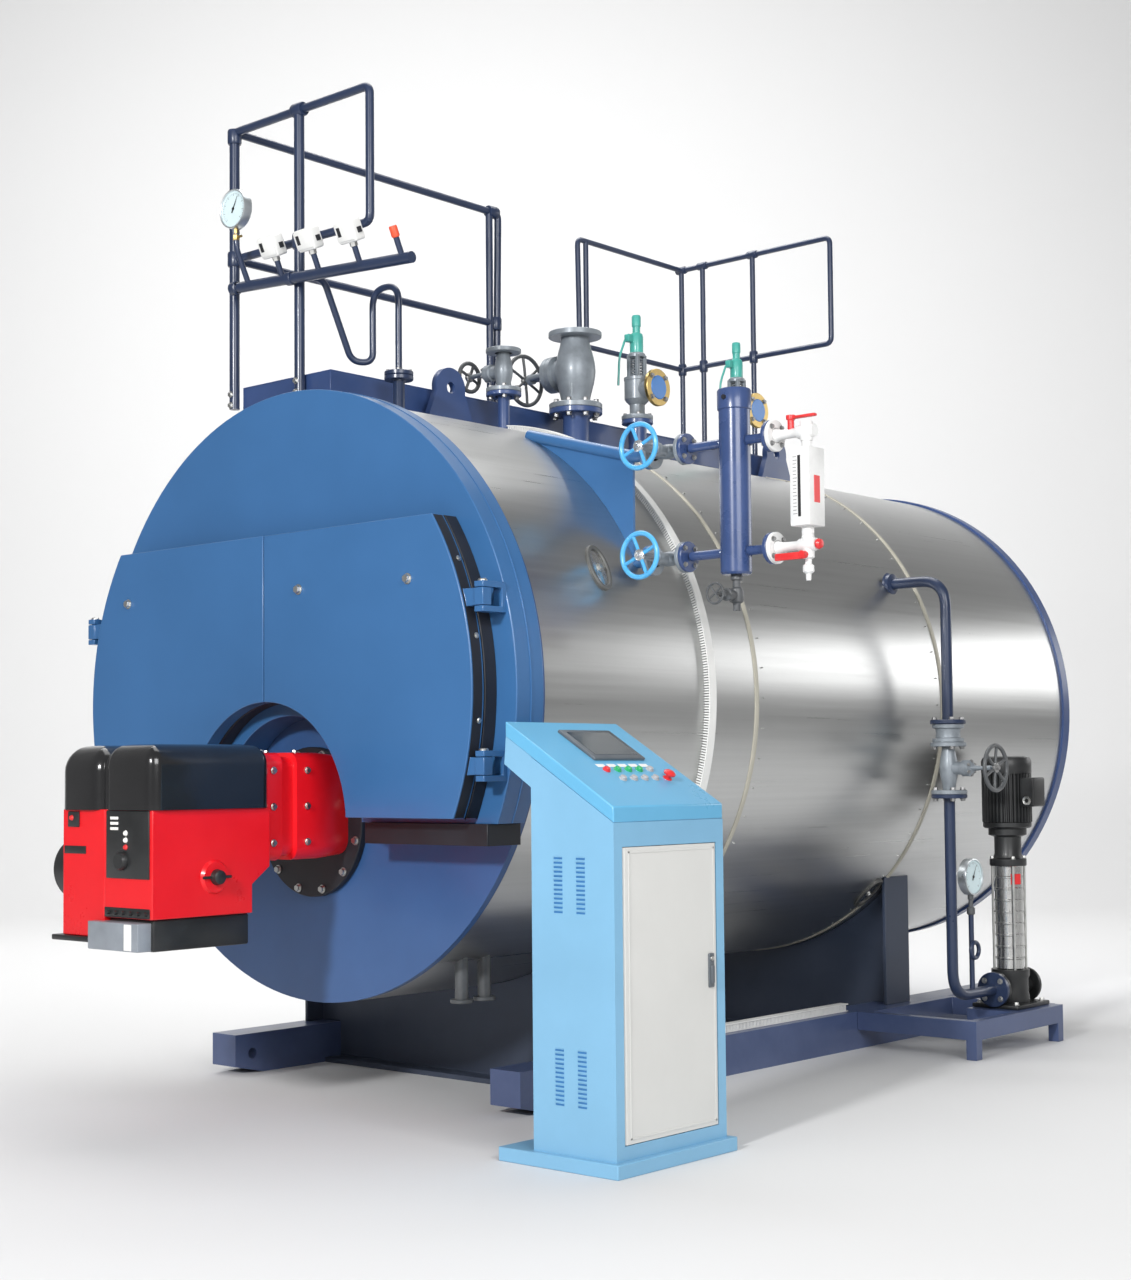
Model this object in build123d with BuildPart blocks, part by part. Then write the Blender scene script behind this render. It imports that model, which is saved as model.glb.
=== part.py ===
from build123d import *
import os
from math import cos, radians, sin, sqrt

# Horizontal fire-tube steam boiler on skids, with its burner, valves, walkway,
# water column, feed pump and control console.
# All sizes are in millimetres. +Z is up, the shell lies along Y and the burner is at -Y.
# The origin is on the floor, at the middle of the front saddle's underside.

# Lagged shell and its two ends
JACKET_RADIUS = 1150
JACKET_WALL = 100
AXIS_HEIGHT = 1520
SHELL_LENGTH = 3833
FRONT_PLATE_THICK = 30
REAR_COVER_THICK = 60
REAR_COVER_LIP = 12
SEAT = 0.3
TURNED_SIDES = 16
PIPE_SIDES = 8

# Smokebox on the front, its door frame and its two arched doors
SADDLE_SETBACK = 920
SMOKEBOX_DEPTH = 137
SMOKEBOX_LIP = 22
SMOKEBOX_PLATE = 15
SILL_DROP = 460
SILL_HEIGHT = 75
SILL_LIP = 30
SILL_END_INSET = 20
DOOR_RADIUS = 1080
DOOR_TOP_RISE = 610
DOOR_SILL_DROP = 440
DOOR_THICK = 60
DOOR_GAP = 5
FRAME_DEPTH = 59
FRAME_WIDTH = 60
ARCH_DROP = 465
ARCH_RADIUS = 450
ARCH_WALL_RADIUS = 400
HINGE_OFFSET = 25
HINGE_RISES = (-263, 310)
HINGE_PIN_RADIUS = 12
HINGE_BARREL_RADIUS = 21
HINGE_BARREL_HEIGHT = 60
HINGE_LUG_THICK = 20
PIN_CLEARANCE = 0.1
HINGE_END_PLAY = 2
HINGE_STRAP_THICK = 30
HINGE_STRAP_LAP = 120

# Rear flue outlet
FLUE_RISE = 520
FLUE_RADIUS = 225
FLUE_LENGTH = 150
FLUE_WALL = 8
FLUE_FLANGE_RADIUS = 285
FLUE_FLANGE_THICK = 12
FLUE_BOLT_CIRCLE = 530
FLUE_BOLTS = 8
FLUE_BOLT_HOLE = 7

# Skids and saddles
SKID_X = 796
SKID_WIDTH = 148
SKID_HEIGHT = 164
SKID_FRONT = 330
SKID_REAR = 3950
TOE_LENGTH = 150
TOE_RISE = 34
TOW_HOLE_SETBACK = 90
TOW_HOLE_RADIUS = 22
SADDLE_DEPTH = 200
SADDLE_HALF_WIDTH = 850
SADDLE_PLATE = 20
SADDLE_FLANGE = 16
REAR_SADDLE_AT = 2920

# Walkway on the crown and its two railings
WALKWAY_LEFT = -596
WALKWAY_RIGHT = -60
WALKWAY_FRONT = 268
WALKWAY_REAR = 3246
WALKWAY_RISE = 55
CHANNEL_HEIGHT = 100
CHANNEL_WIDTH = 50
DECK_THICK = 6
BRACKET_THICK = 12
BRACKET_STATIONS = (600, 1450, 2300, 3050)
RAIL_RADIUS = 17
POST_RADIUS = 24
RAIL_BEND = 30
RAIL_TOP_RISE = 1230
RAIL_MIDDLE_RISE = 695
POST_FOOT_RISE = 70
FRONT_RAIL_END_X = 198
FRONT_POST_X = -215
SIDE_RAIL_END = 1818
REAR_RAIL_START = 2446
REAR_RAIL_END_X = 317
REAR_POSTS_X = (-480, -158)

# Lifting lugs
LUG_STATIONS = (870, 3215)
LUG_LENGTH = 190
LUG_THICK = 30
LUG_RISE = 225
LUG_HOLE_RADIUS = 24
LUG_HEAD_RADIUS = 62

# Nozzles and valves on the crown
NOZZLE_X = 80
AUX_STATION = 1120
AUX_FLANGE_RISE = 170
AUX_LENGTH = 185
AUX_PIPE_RADIUS = 24
AUX_FLANGE_RADIUS = 75
AUX_FLANGE_THICK = 18
AUX_BOLT_CIRCLE = 110
AUX_BOLTS = 4
AUX_BOLT_HOLE = 9
AUX_STEM_REACH = 200
AUX_WHEEL_RADIUS = 70
MAIN_STATION = 1585
MAIN_FLANGE_RISE = 160
MAIN_LENGTH = 343
MAIN_PIPE_RADIUS = 54
MAIN_FLANGE_RADIUS = 117.5
MAIN_FLANGE_THICK = 24
MAIN_BOLT_CIRCLE = 190
MAIN_BOLTS = 8
MAIN_BOLT_HOLE = 11
MAIN_STEM_REACH = 300
MAIN_WHEEL_RADIUS = 120
SAFETY_STATIONS = (2016, 2790)
SAFETY_FLANGE_RISE = 170
SAFETY_PIPE_RADIUS = 40
SAFETY_FLANGE_RADIUS = 72
SAFETY_FLANGE_THICK = 20
SAFETY_PROFILE = ((72, 0), (72, 20), (36, 20), (36, 80), (58, 80), (58, 195), (40, 195), (40, 300),
                  (31, 300), (31, 400), (20, 400), (20, 485))
SAFETY_OUTLET_RISE = 135
SAFETY_OUTLET_REACH = 130
SAFETY_OUTLET_RADIUS = 85
WHEEL_RIM = 9
WHEEL_HUB = 20
WHEEL_SPOKES = 4
STEM_RADIUS = 9
SPOKE_WIDTH = 14
SPOKE_THICK = 13

# Proportions of a globe valve: radii as shares of its pipe, heights as shares of its length or stem reach
VALVE_NECK = 1.15
VALVE_BELLY = 1.6
VALVE_BELLY_SPAN = (0.4, 0.6)
VALVE_BONNET = 1.45
VALVE_BONNET_SPAN = (0.36, 0.5)
VALVE_CHEST = 1.16
VALVE_YOKE = 0.58
VALVE_YOKE_END = 0.86

# Pressure header on the railing and its siphon
HEADER_RADIUS = 22
HEADER_LEFT_X = -530
HEADER_RIGHT_X = 475
HEADER_LEFT_RISE = 555
HEADER_RIGHT_RISE = 495
STUB_LEAN = 25
STUB_RADIUS = 11
STUB_LENGTH = 95
SWITCHES_X = (-258, -40, 195)
SWITCH_SIZE = (95, 60, 85)
BLIND_STUB_X = 426
GAUGE_STUB_X = -470
GAUGE_STUB_LENGTH = 160
GAUGE_TIP_RISE = 75
STUB_BEND = 30
GAUGE_RADIUS = 80
GAUGE_THICK = 45
GAUGE_RIM = 8
SIPHON_STATION = 507
SIPHON_RADIUS = 13
SIPHON_FLANGE_RISE = 166
SIPHON_TOP_RISE = 520
SIPHON_LOW_RISE = 225
SIPHON_SPREAD = 150
SIPHON_END_X = -120
SIPHON_NECK_RADIUS = 22
SIPHON_FLANGE_RADIUS = 58
SIPHON_FLANGE_THICK = 36
SIPHON_STEP = 70
SIPHON_BEND = 25

# Water column, its two valves and the level gauge
COLUMN_REACH = 350
COLUMN_STATION = 815
COLUMN_RADIUS = 57
COLUMN_FOOT_DROP = 82
COLUMN_HEAD_RISE = 190
COLUMN_CAP_HEIGHT = 75
COLUMN_CAP_LIP = 5
COLUMN_LOW_RISE = 500
COLUMN_SPACING = 400
COLUMN_VALVE_REACH = 45
COLUMN_VALVE_LENGTH = 160
COLUMN_FLANGE_RADIUS = 57
COLUMN_FLANGE_THICK = 16
COLUMN_PIPE_RADIUS = 17
COLUMN_STEM_REACH = 175
COLUMN_WHEEL_RADIUS = 90
COLUMN_DRAIN_LENGTH = 130
COLUMN_DRAIN_RADIUS = 40
GUSSET_TOP_X = 500
GUSSET_STANDOFF = 9.3844
GUSSET_END_INSET = 5.6157
GUSSET_THICK = 12
GUSSET_PIPE_RADIUS = 24
GUSSET_BEND = 40
GAUGE_COCK_REACH = 167
LEVEL_GAUGE_REACH = 310
LEVEL_GAUGE_SIZE = (80, 100, 276)
LEVEL_GAUGE_RISE = 64
LEVEL_GAUGE_OVERRUN = 75
COCK_RADIUS = 18
LEVER_LENGTH = 110

# Feed line from the pump to the shell
FEED_REACH = 150
FEED_STATION = 2633
FEED_RISE = 541
FEED_RADIUS = 24
FEED_BEND = 120
FEED_FLANGE_RADIUS = 77
FEED_FLANGE_THICK = 18
CHECK_DROP = 90
CHECK_HEIGHT = 80
STOP_LENGTH = 225
STOP_STEM_REACH = 227
STOP_WHEEL_RADIUS = 105
PUMP_STATION = 3145
PUMP_BASE_SIZE = (230, 300, 20)
PUMP_PORT_HEIGHT = 250
PUMP_PORT_REACH = 150
PUMP_FOOT_RADIUS = 85
PUMP_FOOT_TOP = 330
PUMP_STACK_RADIUS = 74
PUMP_STACK_TOP = 800
PUMP_HEAD_TOP = 965
PUMP_HEAD_RADIUS = 62
MOTOR_RADIUS = 113
MOTOR_TOP = 1290
TERMINAL_BOX_SIZE = (100, 110, 130)
PUMP_BOLT_CIRCLE = 110
PUMP_BOLTS = 4
PUMP_BOLT_HOLE = 9
OUTRIGGER_LIP = 160
OUTRIGGER_FRONT = 2540
OUTRIGGER_REAR = 3330
OUTRIGGER_HEIGHT = 80
FEED_GAUGE_STATION = 2800
FEED_GAUGE_HEIGHT = 760

# Burner on the front plate
BURNER_HALF_WIDTH = 258
BURNER_FRONT = 822
BURNER_BACK = 310
BURNER_DROP = 305
BURNER_BODY_HEIGHT = 370
HOOD_HEIGHT = 225
BURNER_ROUND = 40
HOOD_OVERHANG = 14
HOOD_ROUND = 90
HOOD_FRONT_EASE = 40
HOOD_GROOVE = 16
HOOD_GROOVE_DEPTH = 25
BURNER_SUMP_DEPTH = 70
BURNER_SUMP_EDGE = -12
BURNER_CUT_LENGTH = 80
BURNER_CUT_HEIGHT = 160
BURNER_CUT_SLOPE = 60
NECK_HALF_WIDTH = 230
NECK_DROP = 130
NECK_HEIGHT = 390
NECK_ROUND = 45
BURNER_FLANGE_RADIUS = 285
BURNER_FLANGE_THICK = 30
BURNER_TRAY_DEPTH = 110
BURNER_TRAY_INSET = 20
AIR_INLET_RADIUS = 115
AIR_INLET_LENGTH = 95
AIR_INLET_SETBACK = 130
AIR_INLET_DROP = 150

# Handholes and drain stubs on the shell
HANDHOLE_STATIONS = (575, 2795)
HANDHOLE_ANGLES = (23.6, -47.5)
HANDHOLE_LONG = 85
HANDHOLE_SHORT = 62
HANDHOLE_RISE = 18
DRAIN_STATIONS = (300, 420)
DRAIN_X = 610
DRAIN_RADIUS = 25
DRAIN_LENGTH = 150

# Control console beside the boiler
CONSOLE_REACH = 640
CONSOLE_NEAR = -240
CONSOLE_DEPTH = 340
CONSOLE_WIDTH = 560
PLINTH_HEIGHT = 45
PLINTH_LIP = 25
PLINTH_BACK_LIP = 130
DESK_FRONT_HEIGHT = 1127
DESK_BACK_HEIGHT = 1400
DESK_OVERHANG = 110
DESK_RIM = 50
CONSOLE_WALL = 40
CONSOLE_DOOR_THICK = 18
CONSOLE_DOOR_SILL = 45
CONSOLE_DOOR_HEAD = 75
CONSOLE_PIN_RADIUS = 4
CONSOLE_PIN_LENGTH = 20

CROWN = AXIS_HEIGHT + JACKET_RADIUS
ARCH_HEIGHT = AXIS_HEIGHT - ARCH_DROP
WALKWAY_BASE = CROWN + WALKWAY_RISE
RAIL_TOP = CROWN + RAIL_TOP_RISE
RAIL_MIDDLE = CROWN + RAIL_MIDDLE_RISE
POST_FOOT = CROWN + POST_FOOT_RISE
SAFETY_FLANGE_TOP = CROWN + SAFETY_FLANGE_RISE
HEADER_LEFT_HEIGHT = CROWN + HEADER_LEFT_RISE
HEADER_RIGHT_HEIGHT = CROWN + HEADER_RIGHT_RISE
SIPHON_FLANGE_TOP = CROWN + SIPHON_FLANGE_RISE
SIPHON_TOP = CROWN + SIPHON_TOP_RISE
SIPHON_LOW = CROWN + SIPHON_LOW_RISE
COLUMN_LOW = AXIS_HEIGHT + COLUMN_LOW_RISE
COLUMN_HIGH = COLUMN_LOW + COLUMN_SPACING
COLUMN_BASE = COLUMN_LOW - COLUMN_FOOT_DROP
COLUMN_TOP = COLUMN_HIGH + COLUMN_HEAD_RISE
COLUMN_X = JACKET_RADIUS + COLUMN_REACH
COLUMN_VALVE_X = JACKET_RADIUS + COLUMN_VALVE_REACH
GUSSET_END_X = sqrt(JACKET_RADIUS**2 - COLUMN_LOW_RISE**2) - GUSSET_END_INSET
GUSSET_TOP_HEIGHT = AXIS_HEIGHT + sqrt(JACKET_RADIUS**2 - GUSSET_TOP_X**2) + GUSSET_STANDOFF
GAUGE_COCK_X = COLUMN_X + GAUGE_COCK_REACH
LEVEL_GAUGE_X = COLUMN_X + LEVEL_GAUGE_REACH
LEVEL_GAUGE_BASE = COLUMN_LOW + LEVEL_GAUGE_RISE
FEED_HEIGHT = AXIS_HEIGHT + FEED_RISE
FEED_X = JACKET_RADIUS + FEED_REACH
CONSOLE_FRONT_X = JACKET_RADIUS + CONSOLE_REACH
CHECK_TOP = AXIS_HEIGHT - CHECK_DROP
BURNER_BASE = ARCH_HEIGHT - BURNER_DROP
BURNER_SPLIT = BURNER_BASE + BURNER_BODY_HEIGHT
BURNER_TOP = BURNER_SPLIT + HOOD_HEIGHT
NECK_BASE = ARCH_HEIGHT - NECK_DROP
NECK_TOP = NECK_BASE + NECK_HEIGHT
AIR_INLET_HEIGHT = ARCH_HEIGHT - AIR_INLET_DROP
FACE_Y = -SADDLE_SETBACK
PLATE_Y = FACE_Y + SMOKEBOX_DEPTH
SHELL_Y = PLATE_Y + FRONT_PLATE_THICK
REAR_Y = SHELL_Y + SHELL_LENGTH
DOOR_Y = FACE_Y - FRAME_DEPTH - DOOR_GAP
HINGE_Y = DOOR_Y - DOOR_THICK / 2
HINGE_X = DOOR_RADIUS + HINGE_OFFSET
SILL_END_X = DOOR_RADIUS - SILL_END_INSET
SMOKEBOX_RADIUS = JACKET_RADIUS + SMOKEBOX_LIP
DECK_BASE = WALKWAY_BASE + CHANNEL_HEIGHT
RAIL_FRONT_Y = FACE_Y + WALKWAY_FRONT - POST_RADIUS - SEAT
RAIL_REAR_Y = FACE_Y + WALKWAY_REAR + POST_RADIUS + SEAT
RAIL_LEFT_X = WALKWAY_LEFT - POST_RADIUS - SEAT


def cross_plane(y):
    """Upright plane across the boiler at this Y, facing the front: local x is X, local y is Z."""
    return Plane(origin=(0, y, 0), x_dir=(1, 0, 0), z_dir=(0, -1, 0))


def axis_plane(x, y, z, direction):
    """Plane at a point, with its normal along the given direction."""
    return Plane(origin=(x, y, z), z_dir=direction)


def crown_height(x):
    """Height of the jacket's upper surface at this distance from the middle plane."""
    return AXIS_HEIGHT + sqrt(JACKET_RADIUS**2 - x**2)


def trim_to_jacket():
    """Cut the part being built back to its seat on the round jacket."""
    length = SHELL_LENGTH + 2 * SMOKEBOX_DEPTH
    with Locations(Location((0, SHELL_Y + SHELL_LENGTH / 2, AXIS_HEIGHT), (90, 0, 0))):
        Cylinder(JACKET_RADIUS + SEAT, length, mode=Mode.SUBTRACT)


def turned(plane, *profile):
    """Add a many-sided turned piece along the plane's normal, from one (radius, height) pair to the next."""
    for (radius, height), (next_radius, next_height) in zip(profile, profile[1:]):
        with BuildSketch(plane.offset(height)) as section:
            RegularPolygon(radius, TURNED_SIDES)
        if radius == next_radius:
            extrude(section.sketch, amount=next_height - height)
        elif height != next_height:
            with BuildSketch(plane.offset(next_height)) as next_section:
                RegularPolygon(next_radius, TURNED_SIDES)
            loft([section.sketch, next_section.sketch])


def pipe_run(points, radius, bend=0):
    """Add a many-sided pipe along straight runs joined by bends."""
    with BuildLine() as route:
        if bend:
            FilletPolyline(*points, radius=bend)
        else:
            Polyline(*points)
    with BuildSketch(route.line ^ 0) as section:
        RegularPolygon(radius, PIPE_SIDES)
    sweep(section.sketch, path=route.line)


def nozzle_stub(y, top, pipe, flange, thick):
    """Add an upright flanged nozzle on the crown, started inside the shell and trimmed to it later."""
    height = top - AXIS_HEIGHT - JACKET_RADIUS / 2
    foot = axis_plane(NOZZLE_X, y, AXIS_HEIGHT + JACKET_RADIUS / 2, (0, 0, 1))
    turned(foot, (pipe, 0), (pipe, height - thick), (flange, height - thick), (flange, height))


def globe_valve(inlet, stem, length, flange, thick, pipe, reach):
    """Add a flanged globe valve on its inlet plane, with a bonnet, yoke and stem along the stem plane."""
    neck = VALVE_NECK * pipe
    belly = VALVE_BELLY * pipe
    bonnet = VALVE_BONNET * pipe
    chest = VALVE_CHEST * pipe
    yoke = VALVE_YOKE * pipe
    belly_start, belly_end = (share * length for share in VALVE_BELLY_SPAN)
    bonnet_start, bonnet_end = (share * reach for share in VALVE_BONNET_SPAN)
    turned(inlet, (flange, 0), (flange, thick), (neck, thick), (belly, belly_start), (belly, belly_end),
           (neck, length - thick), (flange, length - thick), (flange, length))
    turned(stem, (chest, 0), (chest, bonnet_start), (bonnet, bonnet_start), (bonnet, bonnet_end),
           (yoke, bonnet_end), (yoke, VALVE_YOKE_END * reach))
    with BuildSketch(stem) as spindle:
        Circle(STEM_RADIUS)
    extrude(spindle.sketch, amount=reach + 2 * WHEEL_RIM)


def handwheel(stem, reach, radius):
    """Spoked handwheel that turns on a stem, its rim a many-sided ring."""
    rim_plane = stem.offset(reach - WHEEL_RIM)
    rim_inside = radius - 2 * WHEEL_RIM
    with BuildPart() as wheel:
        with BuildSketch(rim_plane):
            RegularPolygon(radius, TURNED_SIDES)
            RegularPolygon(rim_inside, TURNED_SIDES, mode=Mode.SUBTRACT)
        extrude(amount=2 * WHEEL_RIM)
        with BuildSketch(rim_plane):
            RegularPolygon(WHEEL_HUB, PIPE_SIDES)
            with PolarLocations((WHEEL_HUB + rim_inside) / 2, WHEEL_SPOKES):
                Rectangle(rim_inside - WHEEL_HUB + WHEEL_RIM, SPOKE_WIDTH)
            Circle(STEM_RADIUS + PIN_CLEARANCE, mode=Mode.SUBTRACT)
        extrude(amount=SPOKE_THICK)
    return wheel.part


def dial_gauge(back):
    """Add a round gauge on its back plane, with a rim standing round the dial."""
    turned(back, (GAUGE_RADIUS, 0), (GAUGE_RADIUS, GAUGE_THICK))
    with BuildSketch(back.offset(GAUGE_THICK)) as face:
        RegularPolygon(GAUGE_RADIUS - GAUGE_RIM, TURNED_SIDES)
    extrude(face.sketch, amount=-GAUGE_RIM, mode=Mode.SUBTRACT)


def arched_outline(radius, rise, drop, arch_radius):
    """Disc about the shell axis, cut level above and below, with the burner arch taken out."""
    with BuildSketch() as outline:
        with Locations((0, AXIS_HEIGHT)):
            Circle(radius)
        with Locations((0, AXIS_HEIGHT + (rise - drop) / 2)):
            Rectangle(2 * radius, rise + drop, mode=Mode.INTERSECT)
        with Locations((0, ARCH_HEIGHT)):
            Circle(arch_radius, mode=Mode.SUBTRACT)
    return outline.sketch


os.makedirs("parts", exist_ok=True)


def save(part, label):
    """Label a finished piece and write it under its node's name."""
    part.label = label
    export_step(part, f"parts/{label}.step")


# Lagged shell: a plain tube, closed by the front plate and by the rear cover with its flue stub
with BuildPart() as shell_jacket:
    with BuildSketch(cross_plane(SHELL_Y)):
        with Locations((0, AXIS_HEIGHT)):
            Circle(JACKET_RADIUS)
            Circle(JACKET_RADIUS - JACKET_WALL, mode=Mode.SUBTRACT)
    extrude(amount=-SHELL_LENGTH)
save(shell_jacket.part, "shell_jacket")

with BuildPart() as front_plate:
    with BuildSketch(cross_plane(PLATE_Y)):
        with Locations((0, AXIS_HEIGHT)):
            Circle(JACKET_RADIUS)
    extrude(amount=-FRONT_PLATE_THICK)
save(front_plate.part, "front_plate")

with BuildPart() as rear_cover:
    with BuildSketch(cross_plane(REAR_Y)):
        with Locations((0, AXIS_HEIGHT)):
            Circle(JACKET_RADIUS + REAR_COVER_LIP)
    extrude(amount=-REAR_COVER_THICK)
    flue = axis_plane(0, REAR_Y + REAR_COVER_THICK, AXIS_HEIGHT + FLUE_RISE, (0, 1, 0))
    with BuildSketch(flue):
        Circle(FLUE_RADIUS)
    extrude(amount=FLUE_LENGTH)
    with BuildSketch(flue.offset(FLUE_LENGTH)):
        Circle(FLUE_FLANGE_RADIUS)
        with PolarLocations(FLUE_BOLT_CIRCLE / 2, FLUE_BOLTS):
            Circle(FLUE_BOLT_HOLE, mode=Mode.SUBTRACT)
    extrude(amount=-FLUE_FLANGE_THICK)
    with BuildSketch(flue.offset(FLUE_LENGTH)):
        Circle(FLUE_RADIUS - FLUE_WALL)
    extrude(amount=-FLUE_LENGTH, mode=Mode.SUBTRACT)
save(rear_cover.part, "rear_cover")

# Smokebox casing: a flat-bottomed box with an arched recess for the burner, open behind the doors
with BuildPart() as smokebox_casing:
    full_rise = SMOKEBOX_RADIUS
    with BuildSketch(cross_plane(FACE_Y)):
        add(arched_outline(SMOKEBOX_RADIUS, full_rise, SILL_DROP, ARCH_WALL_RADIUS))
    extrude(amount=-SMOKEBOX_DEPTH)
    with BuildSketch(cross_plane(FACE_Y + SMOKEBOX_PLATE)):
        add(arched_outline(SMOKEBOX_RADIUS - SMOKEBOX_PLATE, full_rise, SILL_DROP - SMOKEBOX_PLATE,
                           ARCH_WALL_RADIUS + SMOKEBOX_PLATE))
    extrude(amount=SMOKEBOX_PLATE - SMOKEBOX_DEPTH, mode=Mode.SUBTRACT)
    with BuildSketch(cross_plane(FACE_Y)):
        add(arched_outline(DOOR_RADIUS - FRAME_WIDTH, DOOR_TOP_RISE - FRAME_WIDTH,
                           DOOR_SILL_DROP - FRAME_WIDTH, ARCH_RADIUS + FRAME_WIDTH))
    extrude(amount=-SMOKEBOX_PLATE, mode=Mode.SUBTRACT)
save(smokebox_casing.part, "smokebox_casing")

# Dark sills under the casing, one each side of the burner arch
with BuildPart() as smokebox_sills:
    sill_top = AXIS_HEIGHT - SILL_DROP
    sill_length = SILL_END_X - ARCH_RADIUS
    for side in (-1, 1):
        with Locations((side * (ARCH_RADIUS + sill_length / 2), FACE_Y + (SMOKEBOX_DEPTH - SILL_LIP) / 2,
                        sill_top - SILL_HEIGHT / 2)):
            Box(sill_length, SMOKEBOX_DEPTH + SILL_LIP, SILL_HEIGHT)
save(smokebox_sills.part, "smokebox_sills")

# Door frame standing proud of the casing's face, and the arch ring round the burner that closes it
frame_arch = ARCH_RADIUS + FRAME_WIDTH
with BuildPart() as smokebox_door_frame:
    with BuildSketch(cross_plane(FACE_Y)):
        add(arched_outline(DOOR_RADIUS, DOOR_TOP_RISE, DOOR_SILL_DROP, frame_arch))
        add(arched_outline(DOOR_RADIUS - FRAME_WIDTH, DOOR_TOP_RISE - FRAME_WIDTH,
                           DOOR_SILL_DROP - FRAME_WIDTH, frame_arch), mode=Mode.SUBTRACT)
    extrude(amount=FRAME_DEPTH)
save(smokebox_door_frame.part, "smokebox_door_frame")

with BuildPart() as burner_arch_ring:
    with BuildSketch(cross_plane(FACE_Y)):
        with Locations((0, ARCH_HEIGHT)):
            Circle(frame_arch - SEAT)
            Circle(ARCH_RADIUS, mode=Mode.SUBTRACT)
        with Locations((0, AXIS_HEIGHT - DOOR_SILL_DROP + DOOR_RADIUS / 2)):
            Rectangle(2 * DOOR_RADIUS, DOOR_RADIUS, mode=Mode.INTERSECT)
    extrude(amount=FRAME_DEPTH)
save(burner_arch_ring.part, "burner_arch_ring")

# Two smokebox doors with hinge straps, and the brackets with pins that carry them
for side, name in ((-1, "left"), (1, "right")):
    with BuildPart() as smokebox_door:
        with BuildSketch(cross_plane(DOOR_Y)):
            add(arched_outline(DOOR_RADIUS, DOOR_TOP_RISE, DOOR_SILL_DROP, ARCH_RADIUS))
            with Locations((side * (DOOR_RADIUS / 2 + DOOR_GAP / 2), AXIS_HEIGHT)):
                Rectangle(DOOR_RADIUS, 2 * DOOR_RADIUS, mode=Mode.INTERSECT)
        extrude(amount=DOOR_THICK)
        for rise in HINGE_RISES:
            knuckle = Plane.XY.offset(AXIS_HEIGHT + rise - HINGE_BARREL_HEIGHT / 2)
            with BuildSketch(knuckle):
                with Locations((side * (HINGE_X - HINGE_STRAP_LAP / 2), HINGE_Y)):
                    Rectangle(HINGE_STRAP_LAP, HINGE_STRAP_THICK)
                with Locations((side * HINGE_X, HINGE_Y)):
                    Rectangle(2 * HINGE_BARREL_RADIUS, 2 * HINGE_BARREL_RADIUS)
                    Circle(HINGE_PIN_RADIUS + PIN_CLEARANCE, mode=Mode.SUBTRACT)
            extrude(amount=HINGE_BARREL_HEIGHT)
    save(smokebox_door.part, f"{name}_smokebox_door")

with BuildPart() as door_hinge_brackets:
    inner = HINGE_BARREL_HEIGHT / 2 + HINGE_END_PLAY
    outer = inner + HINGE_LUG_THICK
    for side in (-1, 1):
        for rise in HINGE_RISES:
            middle = AXIS_HEIGHT + rise
            for level in (middle + inner, middle - outer):
                lug_reach = FACE_Y - HINGE_Y + HINGE_BARREL_RADIUS
                with Locations((side * HINGE_X, FACE_Y - lug_reach / 2, level + HINGE_LUG_THICK / 2)):
                    Box(2 * HINGE_BARREL_RADIUS, lug_reach, HINGE_LUG_THICK)
            with Locations((side * HINGE_X, FACE_Y - HINGE_LUG_THICK / 2, middle)):
                Box(2 * HINGE_BARREL_RADIUS, HINGE_LUG_THICK, 2 * outer)
            with Locations((side * HINGE_X, HINGE_Y, middle)):
                Cylinder(HINGE_PIN_RADIUS, 2 * outer)
save(door_hinge_brackets.part, "door_hinge_brackets")

# Skids with raised toes and tow holes
with BuildPart() as skids:
    front = FACE_Y + SKID_FRONT
    rear = FACE_Y + SKID_REAR
    for side in (-1, 1):
        with BuildSketch(Plane.YZ.offset(side * SKID_X - SKID_WIDTH / 2)):
            with BuildLine():
                Polyline((front, TOE_RISE), (front + TOE_LENGTH, 0), (rear, 0), (rear, SKID_HEIGHT),
                         (front, SKID_HEIGHT), close=True)
            make_face()
            with Locations((front + TOW_HOLE_SETBACK, SKID_HEIGHT / 2)):
                Circle(TOW_HOLE_RADIUS, mode=Mode.SUBTRACT)
        extrude(amount=SKID_WIDTH)
save(skids.part, "skids")

# Saddles between the skids: a web, a foot on the floor and flanged ends that rest on the skids
for y, name in ((0, "front"), (FACE_Y + REAR_SADDLE_AT, "rear")):
    inner_half = SKID_X - SKID_WIDTH / 2 - SEAT
    crest = AXIS_HEIGHT - sqrt(JACKET_RADIUS**2 - SADDLE_HALF_WIDTH**2)
    with BuildPart() as saddle:
        with Locations((0, y, crest / 2)):
            Box(2 * inner_half, SADDLE_PLATE, crest)
        with Locations((0, y, (crest + SKID_HEIGHT) / 2)):
            Box(2 * SADDLE_HALF_WIDTH, SADDLE_PLATE, crest - SKID_HEIGHT)
        with Locations((0, y, SADDLE_PLATE / 2)):
            Box(2 * inner_half, SADDLE_DEPTH, SADDLE_PLATE)
        for side in (-1, 1):
            with Locations((side * (SADDLE_HALF_WIDTH - SADDLE_FLANGE / 2), y, (crest + SKID_HEIGHT) / 2)):
                Box(SADDLE_FLANGE, SADDLE_DEPTH, crest - SKID_HEIGHT)
        trim_to_jacket()
    save(saddle.part, f"{name}_saddle")

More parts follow.
